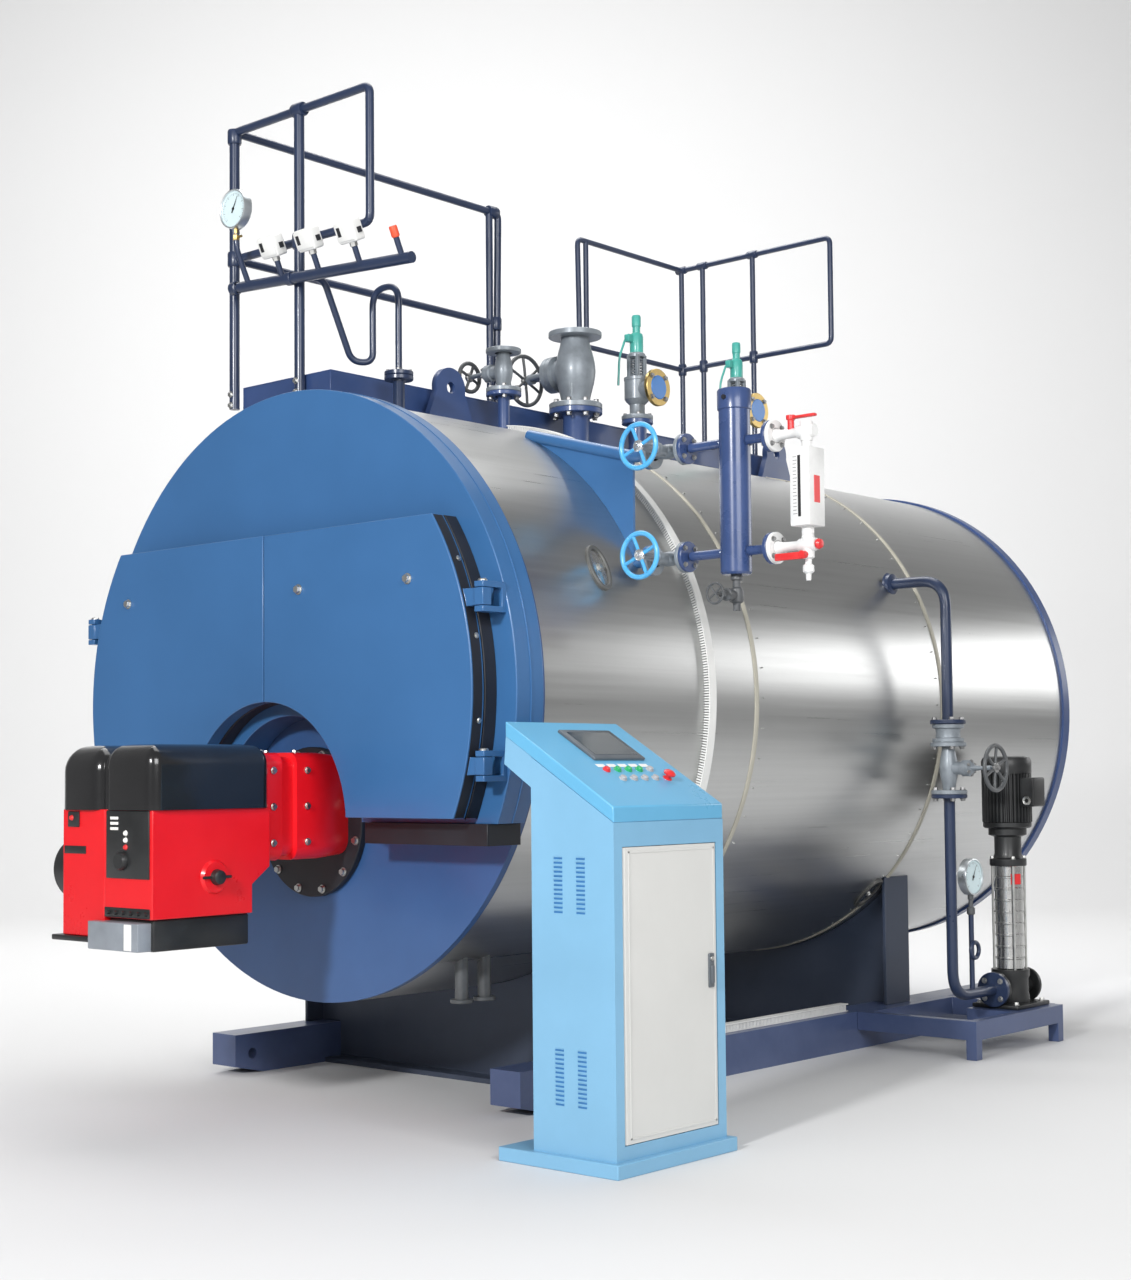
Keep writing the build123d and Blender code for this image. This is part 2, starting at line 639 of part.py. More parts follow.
# Walkway: a channel frame with a deck plate, on brackets shaped to the shell
walkway_width = WALKWAY_RIGHT - WALKWAY_LEFT
walkway_length = WALKWAY_REAR - WALKWAY_FRONT
walkway_middle = ((WALKWAY_LEFT + WALKWAY_RIGHT) / 2, FACE_Y + (WALKWAY_FRONT + WALKWAY_REAR) / 2)
with BuildPart() as walkway_frame:
    with BuildSketch(Plane.XY.offset(WALKWAY_BASE)):
        with Locations(walkway_middle):
            Rectangle(walkway_width, walkway_length)
            Rectangle(walkway_width - 2 * CHANNEL_WIDTH, walkway_length - 2 * CHANNEL_WIDTH,
                      mode=Mode.SUBTRACT)
    extrude(amount=CHANNEL_HEIGHT)
save(walkway_frame.part, "walkway_frame")

with BuildPart() as walkway_deck:
    with BuildSketch(Plane.XY.offset(DECK_BASE)):
        with Locations(walkway_middle):
            Rectangle(walkway_width, walkway_length)
    extrude(amount=DECK_THICK)
save(walkway_deck.part, "walkway_deck")

with BuildPart() as walkway_brackets:
    bracket_drop = WALKWAY_BASE - crown_height(WALKWAY_LEFT)
    for station in BRACKET_STATIONS:
        with Locations((walkway_middle[0], FACE_Y + station, WALKWAY_BASE - bracket_drop / 2)):
            Box(walkway_width, BRACKET_THICK, bracket_drop)
    trim_to_jacket()
save(walkway_brackets.part, "walkway_brackets")

# Railings of bent pipe: the front one turns the corner at the front, the rear one at the back
with BuildPart() as front_railing:
    left_front = (RAIL_LEFT_X, RAIL_FRONT_Y)
    end_y = FACE_Y + SIDE_RAIL_END
    pipe_run([(RAIL_LEFT_X, end_y, POST_FOOT), (RAIL_LEFT_X, end_y + POST_RADIUS, RAIL_TOP),
              (*left_front, RAIL_TOP), (FRONT_RAIL_END_X, RAIL_FRONT_Y, RAIL_TOP),
              (FRONT_RAIL_END_X, RAIL_FRONT_Y, RAIL_MIDDLE), (*left_front, RAIL_MIDDLE)],
             RAIL_RADIUS, RAIL_BEND)
    pipe_run([(*left_front, RAIL_MIDDLE), (RAIL_LEFT_X, end_y, RAIL_MIDDLE)],
             RAIL_RADIUS)
    pipe_run([(*left_front, POST_FOOT), (*left_front, RAIL_TOP)], POST_RADIUS)
    pipe_run([(FRONT_POST_X, RAIL_FRONT_Y, POST_FOOT), (FRONT_POST_X, RAIL_FRONT_Y, RAIL_TOP)],
             POST_RADIUS)
save(front_railing.part, "front_railing")

with BuildPart() as rear_railing:
    left_rear = (RAIL_LEFT_X, RAIL_REAR_Y)
    start_y = FACE_Y + REAR_RAIL_START
    pipe_run([(RAIL_LEFT_X, start_y, POST_FOOT), (RAIL_LEFT_X, start_y - POST_RADIUS, RAIL_TOP),
              (*left_rear, RAIL_TOP), (REAR_RAIL_END_X, RAIL_REAR_Y, RAIL_TOP),
              (REAR_RAIL_END_X, RAIL_REAR_Y, RAIL_MIDDLE), (*left_rear, RAIL_MIDDLE)],
             RAIL_RADIUS, RAIL_BEND)
    pipe_run([(*left_rear, RAIL_MIDDLE), (RAIL_LEFT_X, start_y, RAIL_MIDDLE)],
             RAIL_RADIUS)
    for x in (RAIL_LEFT_X, *REAR_POSTS_X):
        pipe_run([(x, RAIL_REAR_Y, POST_FOOT), (x, RAIL_REAR_Y, RAIL_TOP)],
                 POST_RADIUS)
save(rear_railing.part, "rear_railing")

# Lifting lugs with round heads on the crown
with BuildPart() as lifting_lugs:
    hole_height = CROWN + LUG_RISE - LUG_HEAD_RADIUS
    for station in LUG_STATIONS:
        y = FACE_Y + station
        with BuildSketch(Plane.YZ.offset(-LUG_THICK / 2)):
            with BuildLine():
                Polyline((y - LUG_LENGTH / 2, CROWN - LUG_THICK), (y + LUG_LENGTH / 2, CROWN - LUG_THICK),
                         (y + LUG_HEAD_RADIUS, hole_height), (y - LUG_HEAD_RADIUS, hole_height), close=True)
            make_face()
            with Locations((y, hole_height)):
                Circle(LUG_HEAD_RADIUS)
                Circle(LUG_HOLE_RADIUS, mode=Mode.SUBTRACT)
        extrude(amount=LUG_THICK)
    trim_to_jacket()
save(lifting_lugs.part, "lifting_lugs")

# Steam valves on their nozzles: the stems point over the walkway
STEAM_VALVES = (
    ("auxiliary_steam", AUX_STATION, CROWN + AUX_FLANGE_RISE, AUX_LENGTH, AUX_PIPE_RADIUS, AUX_FLANGE_RADIUS,
     AUX_FLANGE_THICK, AUX_STEM_REACH, AUX_WHEEL_RADIUS, AUX_BOLT_CIRCLE, AUX_BOLTS, AUX_BOLT_HOLE),
    ("main_steam", MAIN_STATION, CROWN + MAIN_FLANGE_RISE, MAIN_LENGTH, MAIN_PIPE_RADIUS, MAIN_FLANGE_RADIUS,
     MAIN_FLANGE_THICK, MAIN_STEM_REACH, MAIN_WHEEL_RADIUS, MAIN_BOLT_CIRCLE, MAIN_BOLTS, MAIN_BOLT_HOLE),
)
with BuildPart() as steam_nozzles:
    for name, station, top, length, pipe, flange, thick, reach, wheel, circle, bolts, hole in STEAM_VALVES:
        nozzle_stub(FACE_Y + station, top, pipe, flange, thick)
    trim_to_jacket()
save(steam_nozzles.part, "steam_nozzles")

for name, station, top, length, pipe, flange, thick, reach, wheel, circle, bolts, hole in STEAM_VALVES:
    stem = axis_plane(NOZZLE_X, FACE_Y + station, top + length / 2, (-1, 0, 0))
    inlet = axis_plane(NOZZLE_X, FACE_Y + station, top, (0, 0, 1))
    with BuildPart() as valve:
        globe_valve(inlet, stem, length, flange, thick, pipe, reach)
        with BuildSketch(inlet.offset(length)):
            Circle(pipe)
            with PolarLocations(circle / 2, bolts, start_angle=180 / bolts):
                Circle(hole)
        extrude(amount=-thick, mode=Mode.SUBTRACT)
    save(valve.part, f"{name}_valve")
    save(handwheel(stem, reach, wheel), f"{name}_handwheel")

# Spring safety valves on their nozzles: body, spring bonnet and cap, with an outlet towards the feed side
with BuildPart() as safety_valves:
    for station in SAFETY_STATIONS:
        y = FACE_Y + station
        nozzle_stub(y, SAFETY_FLANGE_TOP, SAFETY_PIPE_RADIUS, SAFETY_FLANGE_RADIUS, SAFETY_FLANGE_THICK)
        turned(axis_plane(NOZZLE_X, y, SAFETY_FLANGE_TOP, (0, 0, 1)), *SAFETY_PROFILE)
        outlet = axis_plane(NOZZLE_X, y, SAFETY_FLANGE_TOP + SAFETY_OUTLET_RISE, (1, 0, 0))
        neck = SAFETY_OUTLET_REACH - SAFETY_FLANGE_THICK
        turned(outlet, (SAFETY_PIPE_RADIUS, 0), (SAFETY_PIPE_RADIUS, neck), (SAFETY_OUTLET_RADIUS, neck),
               (SAFETY_OUTLET_RADIUS, SAFETY_OUTLET_REACH))
    trim_to_jacket()
save(safety_valves.part, "safety_valves")

# Pressure header on the front railing, with leaning stubs for the gauge, the switches and a blind stub
header_y = RAIL_FRONT_Y - POST_RADIUS - HEADER_RADIUS - SEAT
header_slope = (HEADER_RIGHT_HEIGHT - HEADER_LEFT_HEIGHT) / (HEADER_RIGHT_X - HEADER_LEFT_X)
lean = (0, -sin(radians(STUB_LEAN)), cos(radians(STUB_LEAN)))


def header_height(x):
    """Height of the sloping header's axis at this X."""
    return HEADER_LEFT_HEIGHT + header_slope * (x - HEADER_LEFT_X)


def stub_end(x, length):
    """Point on a leaning stub at this distance from the header's axis."""
    return (x, header_y + lean[1] * length, header_height(x) + lean[2] * length)


gauge_bend = stub_end(GAUGE_STUB_X, GAUGE_STUB_LENGTH)
gauge_tip = (gauge_bend[0], gauge_bend[1], gauge_bend[2] + GAUGE_TIP_RISE)
with BuildPart() as pressure_header:
    pipe_run([(HEADER_LEFT_X, header_y, HEADER_LEFT_HEIGHT), (HEADER_RIGHT_X, header_y, HEADER_RIGHT_HEIGHT)],
             HEADER_RADIUS)
    for x in (*SWITCHES_X, BLIND_STUB_X):
        pipe_run([stub_end(x, 0), stub_end(x, STUB_LENGTH)], STUB_RADIUS)
    pipe_run([stub_end(GAUGE_STUB_X, 0), gauge_bend, gauge_tip], STUB_RADIUS, STUB_BEND)
save(pressure_header.part, "pressure_header")

with BuildPart() as pressure_switches:
    for x in SWITCHES_X:
        seat = Plane(origin=stub_end(x, STUB_LENGTH), x_dir=(1, 0, 0), z_dir=lean)
        with BuildSketch(seat):
            Rectangle(SWITCH_SIZE[0], SWITCH_SIZE[1])
        extrude(amount=SWITCH_SIZE[2])
save(pressure_switches.part, "pressure_switches")

with BuildPart() as pressure_gauge:
    dial_height = gauge_tip[2] + GAUGE_RADIUS + SEAT
    dial_gauge(axis_plane(gauge_tip[0], gauge_tip[1] + GAUGE_THICK / 2, dial_height, (0, -1, 0)))
save(pressure_gauge.part, "pressure_gauge")

# Siphon from its nozzle on the crown, through two bends, to the header
with BuildPart() as siphon_pipe:
    y = FACE_Y + SIPHON_STATION
    far_x = NOZZLE_X - SIPHON_SPREAD
    joint_y = header_y + HEADER_RADIUS + SEAT
    joint_z = header_height(SIPHON_END_X)
    nozzle_stub(y, SIPHON_FLANGE_TOP, SIPHON_NECK_RADIUS, SIPHON_FLANGE_RADIUS, SIPHON_FLANGE_THICK)
    pipe_run([(NOZZLE_X, y, SIPHON_FLANGE_TOP), (NOZZLE_X, y, SIPHON_TOP), (far_x, y, SIPHON_TOP),
              (far_x, y, SIPHON_LOW), (SIPHON_END_X, y - SIPHON_STEP, SIPHON_LOW),
              (SIPHON_END_X, joint_y + SIPHON_STEP, joint_z), (SIPHON_END_X, joint_y, joint_z)],
             SIPHON_RADIUS, SIPHON_BEND)
    trim_to_jacket()
save(siphon_pipe.part, "siphon_pipe")

# Water column: bracket with its two nozzles on the shell, two valves and the column itself
column_y = FACE_Y + COLUMN_STATION
valve_start = COLUMN_VALVE_X - COLUMN_VALVE_LENGTH / 2
valve_end = COLUMN_VALVE_X + COLUMN_VALVE_LENGTH / 2
with BuildPart() as column_bracket:
    pipe_run([(GUSSET_TOP_X, column_y, GUSSET_TOP_HEIGHT), (GUSSET_END_X, column_y, COLUMN_HIGH),
              (valve_start, column_y, COLUMN_HIGH)], GUSSET_PIPE_RADIUS, GUSSET_BEND)
    pipe_run([(JACKET_RADIUS / 2, column_y, COLUMN_LOW), (valve_start, column_y, COLUMN_LOW)],
             GUSSET_PIPE_RADIUS)
    for z in (COLUMN_LOW, COLUMN_HIGH):
        turned(axis_plane(valve_start, column_y, z, (-1, 0, 0)), (COLUMN_FLANGE_RADIUS, 0),
               (COLUMN_FLANGE_RADIUS, COLUMN_FLANGE_THICK))
    with BuildSketch(cross_plane(column_y + GUSSET_THICK / 2)):
        with BuildLine():
            Polyline((GUSSET_TOP_X, GUSSET_TOP_HEIGHT), (GUSSET_END_X, COLUMN_HIGH),
                     (GUSSET_END_X, COLUMN_LOW), (GUSSET_TOP_X, COLUMN_LOW), close=True)
        make_face()
    extrude(amount=GUSSET_THICK)
    trim_to_jacket()
save(column_bracket.part, "column_bracket")

with BuildPart() as column_valves:
    for z in (COLUMN_LOW, COLUMN_HIGH):
        stem = axis_plane(COLUMN_VALVE_X, column_y, z, (0, -1, 0))
        inlet = axis_plane(valve_start, column_y, z, (1, 0, 0))
        globe_valve(inlet, stem, COLUMN_VALVE_LENGTH, COLUMN_FLANGE_RADIUS, COLUMN_FLANGE_THICK,
                    COLUMN_PIPE_RADIUS, COLUMN_STEM_REACH)
save(column_valves.part, "column_valves")

for z, name in ((COLUMN_LOW, "lower"), (COLUMN_HIGH, "upper")):
    stem = axis_plane(COLUMN_VALVE_X, column_y, z, (0, -1, 0))
    save(handwheel(stem, COLUMN_STEM_REACH, COLUMN_WHEEL_RADIUS), f"{name}_column_handwheel")

with BuildPart() as water_column:
    cap = COLUMN_RADIUS + COLUMN_CAP_LIP
    height = COLUMN_TOP - COLUMN_BASE
    turned(axis_plane(COLUMN_X, column_y, COLUMN_BASE, (0, 0, 1)), (COLUMN_RADIUS, 0),
           (COLUMN_RADIUS, height - COLUMN_CAP_HEIGHT), (cap, height - COLUMN_CAP_HEIGHT), (cap, height))
    for z in (COLUMN_LOW, COLUMN_HIGH):
        for end_x, toward in ((valve_end, -1), (GAUGE_COCK_X, 1)):
            reach = (end_x - COLUMN_X) * toward
            turned(axis_plane(COLUMN_X, column_y, z, (toward, 0, 0)), (COLUMN_PIPE_RADIUS, 0),
                   (COLUMN_PIPE_RADIUS, reach - COLUMN_FLANGE_THICK),
                   (COLUMN_FLANGE_RADIUS, reach - COLUMN_FLANGE_THICK), (COLUMN_FLANGE_RADIUS, reach))
save(water_column.part, "water_column")

# Drain valve hanging under the column
with BuildPart() as column_drain:
    collar = COLUMN_DRAIN_LENGTH - COLUMN_FLANGE_THICK
    foot = axis_plane(COLUMN_X, column_y, COLUMN_BASE - COLUMN_DRAIN_LENGTH, (0, 0, 1))
    turned(foot, (COLUMN_PIPE_RADIUS, 0), (COLUMN_PIPE_RADIUS, collar), (COLUMN_DRAIN_RADIUS, collar),
           (COLUMN_DRAIN_RADIUS, COLUMN_DRAIN_LENGTH))
save(column_drain.part, "column_drain")

# Level gauge: two cocks on flanges, joined by the long box with the glass
with BuildPart() as level_gauge:
    for z in (COLUMN_LOW, COLUMN_HIGH):
        turned(axis_plane(GAUGE_COCK_X, column_y, z, (1, 0, 0)), (COLUMN_FLANGE_RADIUS, 0),
               (COLUMN_FLANGE_RADIUS, COLUMN_FLANGE_THICK), (COCK_RADIUS, COLUMN_FLANGE_THICK),
               (COCK_RADIUS, LEVEL_GAUGE_X - GAUGE_COCK_X + COCK_RADIUS))
        with Locations((LEVEL_GAUGE_X, column_y - LEVER_LENGTH / 2, z)):
            Box(COCK_RADIUS, LEVER_LENGTH, COCK_RADIUS)
    drain_top = COLUMN_HIGH + LEVEL_GAUGE_OVERRUN
    drain_foot = COLUMN_LOW - LEVEL_GAUGE_OVERRUN
    pipe_run([(LEVEL_GAUGE_X, column_y, drain_foot), (LEVEL_GAUGE_X, column_y, drain_top)],
             COCK_RADIUS)
    with Locations((LEVEL_GAUGE_X, column_y, LEVEL_GAUGE_BASE + LEVEL_GAUGE_SIZE[2] / 2)):
        Box(*LEVEL_GAUGE_SIZE)
save(level_gauge.part, "level_gauge")

# Feed line: pipe from the pump, stop valve, check valve and the bend into the shell
feed_y = FACE_Y + FEED_STATION
pump_y = FACE_Y + PUMP_STATION
check_base = CHECK_TOP - CHECK_HEIGHT
stop_base = check_base - STOP_LENGTH
with BuildPart() as feed_nozzle:
    pipe_run([(JACKET_RADIUS / 2, feed_y, FEED_HEIGHT), (FEED_X, feed_y, FEED_HEIGHT),
              (FEED_X, feed_y, CHECK_TOP)], FEED_RADIUS, FEED_BEND)
    turned(axis_plane(FEED_X, feed_y, CHECK_TOP, (0, 0, 1)), (FEED_FLANGE_RADIUS, 0),
           (FEED_FLANGE_RADIUS, FEED_FLANGE_THICK))
    trim_to_jacket()
save(feed_nozzle.part, "feed_nozzle")

with BuildPart() as feed_check_valve:
    check_radius = FEED_FLANGE_RADIUS - FEED_FLANGE_THICK
    turned(axis_plane(FEED_X, feed_y, check_base, (0, 0, 1)), (check_radius, 0), (check_radius, CHECK_HEIGHT))
save(feed_check_valve.part, "feed_check_valve")

stop_stem = axis_plane(FEED_X, feed_y, stop_base + STOP_LENGTH / 2, (1, 0, 0))
with BuildPart() as feed_stop_valve:
    globe_valve(axis_plane(FEED_X, feed_y, stop_base, (0, 0, 1)), stop_stem, STOP_LENGTH, FEED_FLANGE_RADIUS,
                FEED_FLANGE_THICK, FEED_RADIUS, STOP_STEM_REACH)
save(feed_stop_valve.part, "feed_stop_valve")
save(handwheel(stop_stem, STOP_STEM_REACH, STOP_WHEEL_RADIUS), "feed_stop_handwheel")

with BuildPart() as feed_riser:
    port_y = pump_y - PUMP_PORT_REACH
    pipe_run([(FEED_X, feed_y, stop_base), (FEED_X, feed_y, PUMP_PORT_HEIGHT),
              (FEED_X, port_y, PUMP_PORT_HEIGHT)], FEED_RADIUS, FEED_BEND)
    for joint in (axis_plane(FEED_X, feed_y, stop_base, (0, 0, -1)),
                  axis_plane(FEED_X, port_y, PUMP_PORT_HEIGHT, (0, -1, 0))):
        turned(joint, (FEED_FLANGE_RADIUS, 0), (FEED_FLANGE_RADIUS, FEED_FLANGE_THICK))
    gauge_y = FACE_Y + FEED_GAUGE_STATION
    pipe_run([(FEED_X, gauge_y, PUMP_PORT_HEIGHT), (FEED_X, gauge_y, FEED_GAUGE_HEIGHT - GAUGE_RADIUS)],
             STUB_RADIUS)
save(feed_riser.part, "feed_riser")

with BuildPart() as feed_gauge:
    dial_gauge(axis_plane(FEED_X - GAUGE_THICK / 2, gauge_y, FEED_GAUGE_HEIGHT + SEAT, (1, 0, 0)))
save(feed_gauge.part, "feed_gauge")

# Feed pump: an upright multistage pump and its motor on an outrigger frame beside the skid
outrigger_base = SKID_HEIGHT - OUTRIGGER_HEIGHT
skid_side = SKID_X + SKID_WIDTH / 2 + SEAT
outrigger_width = FEED_X + OUTRIGGER_LIP + SEAT - skid_side
with BuildPart() as pump_outrigger:
    middle_y = FACE_Y + (OUTRIGGER_FRONT + OUTRIGGER_REAR) / 2
    with BuildSketch(Plane.XY.offset(outrigger_base)):
        with Locations((skid_side + outrigger_width / 2, middle_y)):
            Rectangle(outrigger_width, OUTRIGGER_REAR - OUTRIGGER_FRONT)
            Rectangle(outrigger_width - 2 * CHANNEL_WIDTH,
                      OUTRIGGER_REAR - OUTRIGGER_FRONT - 2 * CHANNEL_WIDTH, mode=Mode.SUBTRACT)
        with Locations((FEED_X, pump_y)):
            Rectangle(PUMP_BASE_SIZE[0], PUMP_BASE_SIZE[1] + 2 * CHANNEL_WIDTH)
    extrude(amount=OUTRIGGER_HEIGHT)
    with BuildSketch(Plane.XY):
        for y in (FACE_Y + OUTRIGGER_FRONT + CHANNEL_WIDTH / 2, FACE_Y + OUTRIGGER_REAR - CHANNEL_WIDTH / 2):
            with Locations((skid_side + outrigger_width - CHANNEL_WIDTH / 2, y)):
                Rectangle(CHANNEL_WIDTH, CHANNEL_WIDTH)
    extrude(amount=outrigger_base)
save(pump_outrigger.part, "pump_outrigger")

with BuildPart() as feed_pump:
    base_top = SKID_HEIGHT + PUMP_BASE_SIZE[2]
    with Locations((FEED_X, pump_y, SKID_HEIGHT + PUMP_BASE_SIZE[2] / 2)):
        Box(*PUMP_BASE_SIZE)
    turned(axis_plane(FEED_X, pump_y, 0, (0, 0, 1)), (PUMP_FOOT_RADIUS, base_top),
           (PUMP_FOOT_RADIUS, PUMP_FOOT_TOP), (PUMP_STACK_RADIUS, PUMP_FOOT_TOP),
           (PUMP_STACK_RADIUS, PUMP_STACK_TOP), (PUMP_HEAD_RADIUS, PUMP_STACK_TOP),
           (PUMP_HEAD_RADIUS, PUMP_HEAD_TOP))
    port_radius = FEED_RADIUS + FEED_FLANGE_THICK
    collar = PUMP_PORT_REACH - FEED_FLANGE_THICK
    for toward in (-1, 1):
        turned(axis_plane(FEED_X, pump_y, PUMP_PORT_HEIGHT, (0, toward, 0)), (port_radius, 0),
               (port_radius, collar), (FEED_FLANGE_RADIUS, collar), (FEED_FLANGE_RADIUS, PUMP_PORT_REACH))
    with BuildSketch(axis_plane(FEED_X, pump_y + PUMP_PORT_REACH, PUMP_PORT_HEIGHT, (0, 1, 0))):
        with PolarLocations(PUMP_BOLT_CIRCLE / 2, PUMP_BOLTS, start_angle=180 / PUMP_BOLTS):
            Circle(PUMP_BOLT_HOLE)
    extrude(amount=-FEED_FLANGE_THICK, mode=Mode.SUBTRACT)
    with BuildSketch(axis_plane(FEED_X, pump_y + PUMP_PORT_REACH, PUMP_PORT_HEIGHT, (0, -1, 0))):
        Circle(FEED_RADIUS)
    extrude(amount=PUMP_PORT_REACH / 2, mode=Mode.SUBTRACT)
save(feed_pump.part, "feed_pump")

with BuildPart() as pump_motor:
    turned(axis_plane(FEED_X, pump_y, 0, (0, 0, 1)), (MOTOR_RADIUS, PUMP_HEAD_TOP), (MOTOR_RADIUS, MOTOR_TOP))
    with Locations((FEED_X + MOTOR_RADIUS, pump_y, (PUMP_HEAD_TOP + MOTOR_TOP) / 2)):
        Box(*TERMINAL_BOX_SIZE)
save(pump_motor.part, "pump_motor")

# Burner: flanged neck on the front plate, fan housing, hood and air inlet
burner_front_y = FACE_Y - BURNER_FRONT
burner_back_y = FACE_Y - BURNER_BACK
burner_middle_y = (burner_front_y + burner_back_y) / 2
burner_length = BURNER_FRONT - BURNER_BACK
neck_middle = (NECK_BASE + NECK_TOP) / 2
with BuildPart() as burner_neck:
    with BuildSketch(cross_plane(PLATE_Y - BURNER_FLANGE_THICK)):
        with Locations((0, neck_middle)):
            RectangleRounded(2 * NECK_HALF_WIDTH, NECK_TOP - NECK_BASE, NECK_ROUND)
    extrude(amount=PLATE_Y - BURNER_FLANGE_THICK - burner_back_y)
    with BuildSketch(cross_plane(PLATE_Y)):
        with Locations((0, ARCH_HEIGHT)):
            Circle(BURNER_FLANGE_RADIUS)
    extrude(amount=BURNER_FLANGE_THICK)
save(burner_neck.part, "burner_neck")

with BuildPart() as burner_body:
    with BuildSketch(Plane.XY.offset(BURNER_BASE)):
        with Locations((0, burner_middle_y)):
            RectangleRounded(2 * BURNER_HALF_WIDTH, burner_length, BURNER_ROUND)
    extrude(amount=BURNER_SPLIT - BURNER_BASE)
    with BuildSketch(Plane.XY.offset(BURNER_BASE)):
        with Locations((0, burner_middle_y)):
            RectangleRounded(2 * BURNER_HALF_WIDTH, burner_length, BURNER_ROUND)
        with Locations((BURNER_SUMP_EDGE + BURNER_HALF_WIDTH, burner_middle_y)):
            Rectangle(2 * BURNER_HALF_WIDTH, burner_length, mode=Mode.SUBTRACT)
    extrude(amount=-BURNER_SUMP_DEPTH)
    with BuildSketch(Plane.YZ.offset(-BURNER_HALF_WIDTH)):
        cut_y = burner_back_y - BURNER_CUT_LENGTH
        cut_top = BURNER_BASE + BURNER_CUT_HEIGHT
        sump_base = BURNER_BASE - BURNER_SUMP_DEPTH
        with BuildLine():
            Polyline((burner_back_y, sump_base), (burner_back_y, cut_top),
                     (cut_y, cut_top - BURNER_CUT_SLOPE), (cut_y, sump_base), close=True)
        make_face()
    extrude(amount=2 * BURNER_HALF_WIDTH, mode=Mode.SUBTRACT)
save(burner_body.part, "burner_body")

# Hood with round shoulders, parted by a groove that runs back over the top and down the front
with BuildPart() as burner_hood:
    hood_length = burner_length + HOOD_OVERHANG
    with BuildSketch(cross_plane(burner_back_y)) as shoulders:
        with Locations((0, (BURNER_SPLIT + BURNER_TOP) / 2)):
            Rectangle(2 * (BURNER_HALF_WIDTH + HOOD_OVERHANG), HOOD_HEIGHT)
        fillet(shoulders.vertices().group_by(Axis.Y)[-1], HOOD_ROUND)
    extrude(amount=hood_length)
    front_edges = burner_hood.faces().sort_by(Axis.Y)[0].edges().sort_by(Axis.Z)[1:]
    chamfer(front_edges, HOOD_FRONT_EASE)
    with Locations((BURNER_SUMP_EDGE, burner_back_y - hood_length / 2, (BURNER_SPLIT + BURNER_TOP) / 2)):
        Box(HOOD_GROOVE, hood_length, HOOD_HEIGHT, mode=Mode.SUBTRACT)
    with Locations((BURNER_SUMP_EDGE, burner_back_y - (hood_length - HOOD_GROOVE_DEPTH) / 2,
                    BURNER_SPLIT + (HOOD_HEIGHT - HOOD_GROOVE_DEPTH) / 2)):
        Box(HOOD_GROOVE, hood_length - HOOD_GROOVE_DEPTH, HOOD_HEIGHT - HOOD_GROOVE_DEPTH)
save(burner_hood.part, "burner_hood")

with BuildPart() as burner_tray:
    tray_left = BURNER_SUMP_EDGE + SEAT
    tray_right = BURNER_HALF_WIDTH - BURNER_TRAY_INSET
    tray_front = burner_front_y + BURNER_TRAY_INSET
    tray_back = burner_back_y - BURNER_CUT_LENGTH
    with BuildSketch(Plane.XY.offset(BURNER_BASE - BURNER_TRAY_DEPTH)):
        with Locations(((tray_left + tray_right) / 2, (tray_front + tray_back) / 2)):
            Rectangle(tray_right - tray_left, tray_back - tray_front)
    extrude(amount=BURNER_TRAY_DEPTH)
save(burner_tray.part, "burner_tray")

with BuildPart() as burner_air_inlet:
    mouth = axis_plane(-BURNER_HALF_WIDTH, burner_front_y + AIR_INLET_SETBACK, AIR_INLET_HEIGHT, (-1, 0, 0))
    turned(mouth, (AIR_INLET_RADIUS, 0), (AIR_INLET_RADIUS, AIR_INLET_LENGTH))
save(burner_air_inlet.part, "burner_air_inlet")

# Handholes and drain stubs on the shell
with BuildPart() as handholes:
    for station, angle in zip(HANDHOLE_STATIONS, HANDHOLE_ANGLES):
        outward = (cos(radians(angle)), 0, sin(radians(angle)))
        with BuildSketch(Plane(origin=(0, FACE_Y + station, AXIS_HEIGHT), x_dir=(0, 1, 0), z_dir=outward)):
            Ellipse(HANDHOLE_LONG, HANDHOLE_SHORT)
        extrude(amount=JACKET_RADIUS + HANDHOLE_RISE)
    trim_to_jacket()
save(handholes.part, "handholes")

with BuildPart() as drain_stubs:
    shell_foot = AXIS_HEIGHT - sqrt(JACKET_RADIUS**2 - DRAIN_X**2)
    for station in DRAIN_STATIONS:
        turned(axis_plane(DRAIN_X, FACE_Y + station, shell_foot - DRAIN_LENGTH, (0, 0, 1)), (DRAIN_RADIUS, 0),
               (DRAIN_RADIUS, 2 * DRAIN_LENGTH))
    trim_to_jacket()
save(drain_stubs.part, "drain_stubs")

# Console: plinth, hollow cabinet with its door, and the sloping desk on top
console_y = FACE_Y + CONSOLE_NEAR + CONSOLE_WIDTH / 2
console_back_x = CONSOLE_FRONT_X - CONSOLE_DEPTH
plinth_back_x = console_back_x - PLINTH_BACK_LIP
plinth_front_x = CONSOLE_FRONT_X + PLINTH_LIP
slope = (DESK_BACK_HEIGHT - DESK_FRONT_HEIGHT) / (CONSOLE_DEPTH + DESK_OVERHANG)
cabinet_front_top = DESK_FRONT_HEIGHT - DESK_RIM
cabinet_back_top = cabinet_front_top + slope * CONSOLE_DEPTH
door_base = PLINTH_HEIGHT + CONSOLE_DOOR_SILL
door_top = cabinet_front_top - CONSOLE_DOOR_HEAD
door_near = FACE_Y + CONSOLE_NEAR + CONSOLE_WALL
door_far = door_near + CONSOLE_WIDTH - 2 * CONSOLE_WALL
console_pin_x = CONSOLE_FRONT_X - CONSOLE_DOOR_THICK / 2
console_pin_y = door_near + CONSOLE_DOOR_THICK / 2 + DOOR_GAP
with BuildPart() as console_plinth:
    with Locations(((plinth_back_x + plinth_front_x) / 2, console_y, PLINTH_HEIGHT / 2)):
        Box(plinth_front_x - plinth_back_x, CONSOLE_WIDTH + 2 * PLINTH_LIP, PLINTH_HEIGHT)
save(console_plinth.part, "console_plinth")

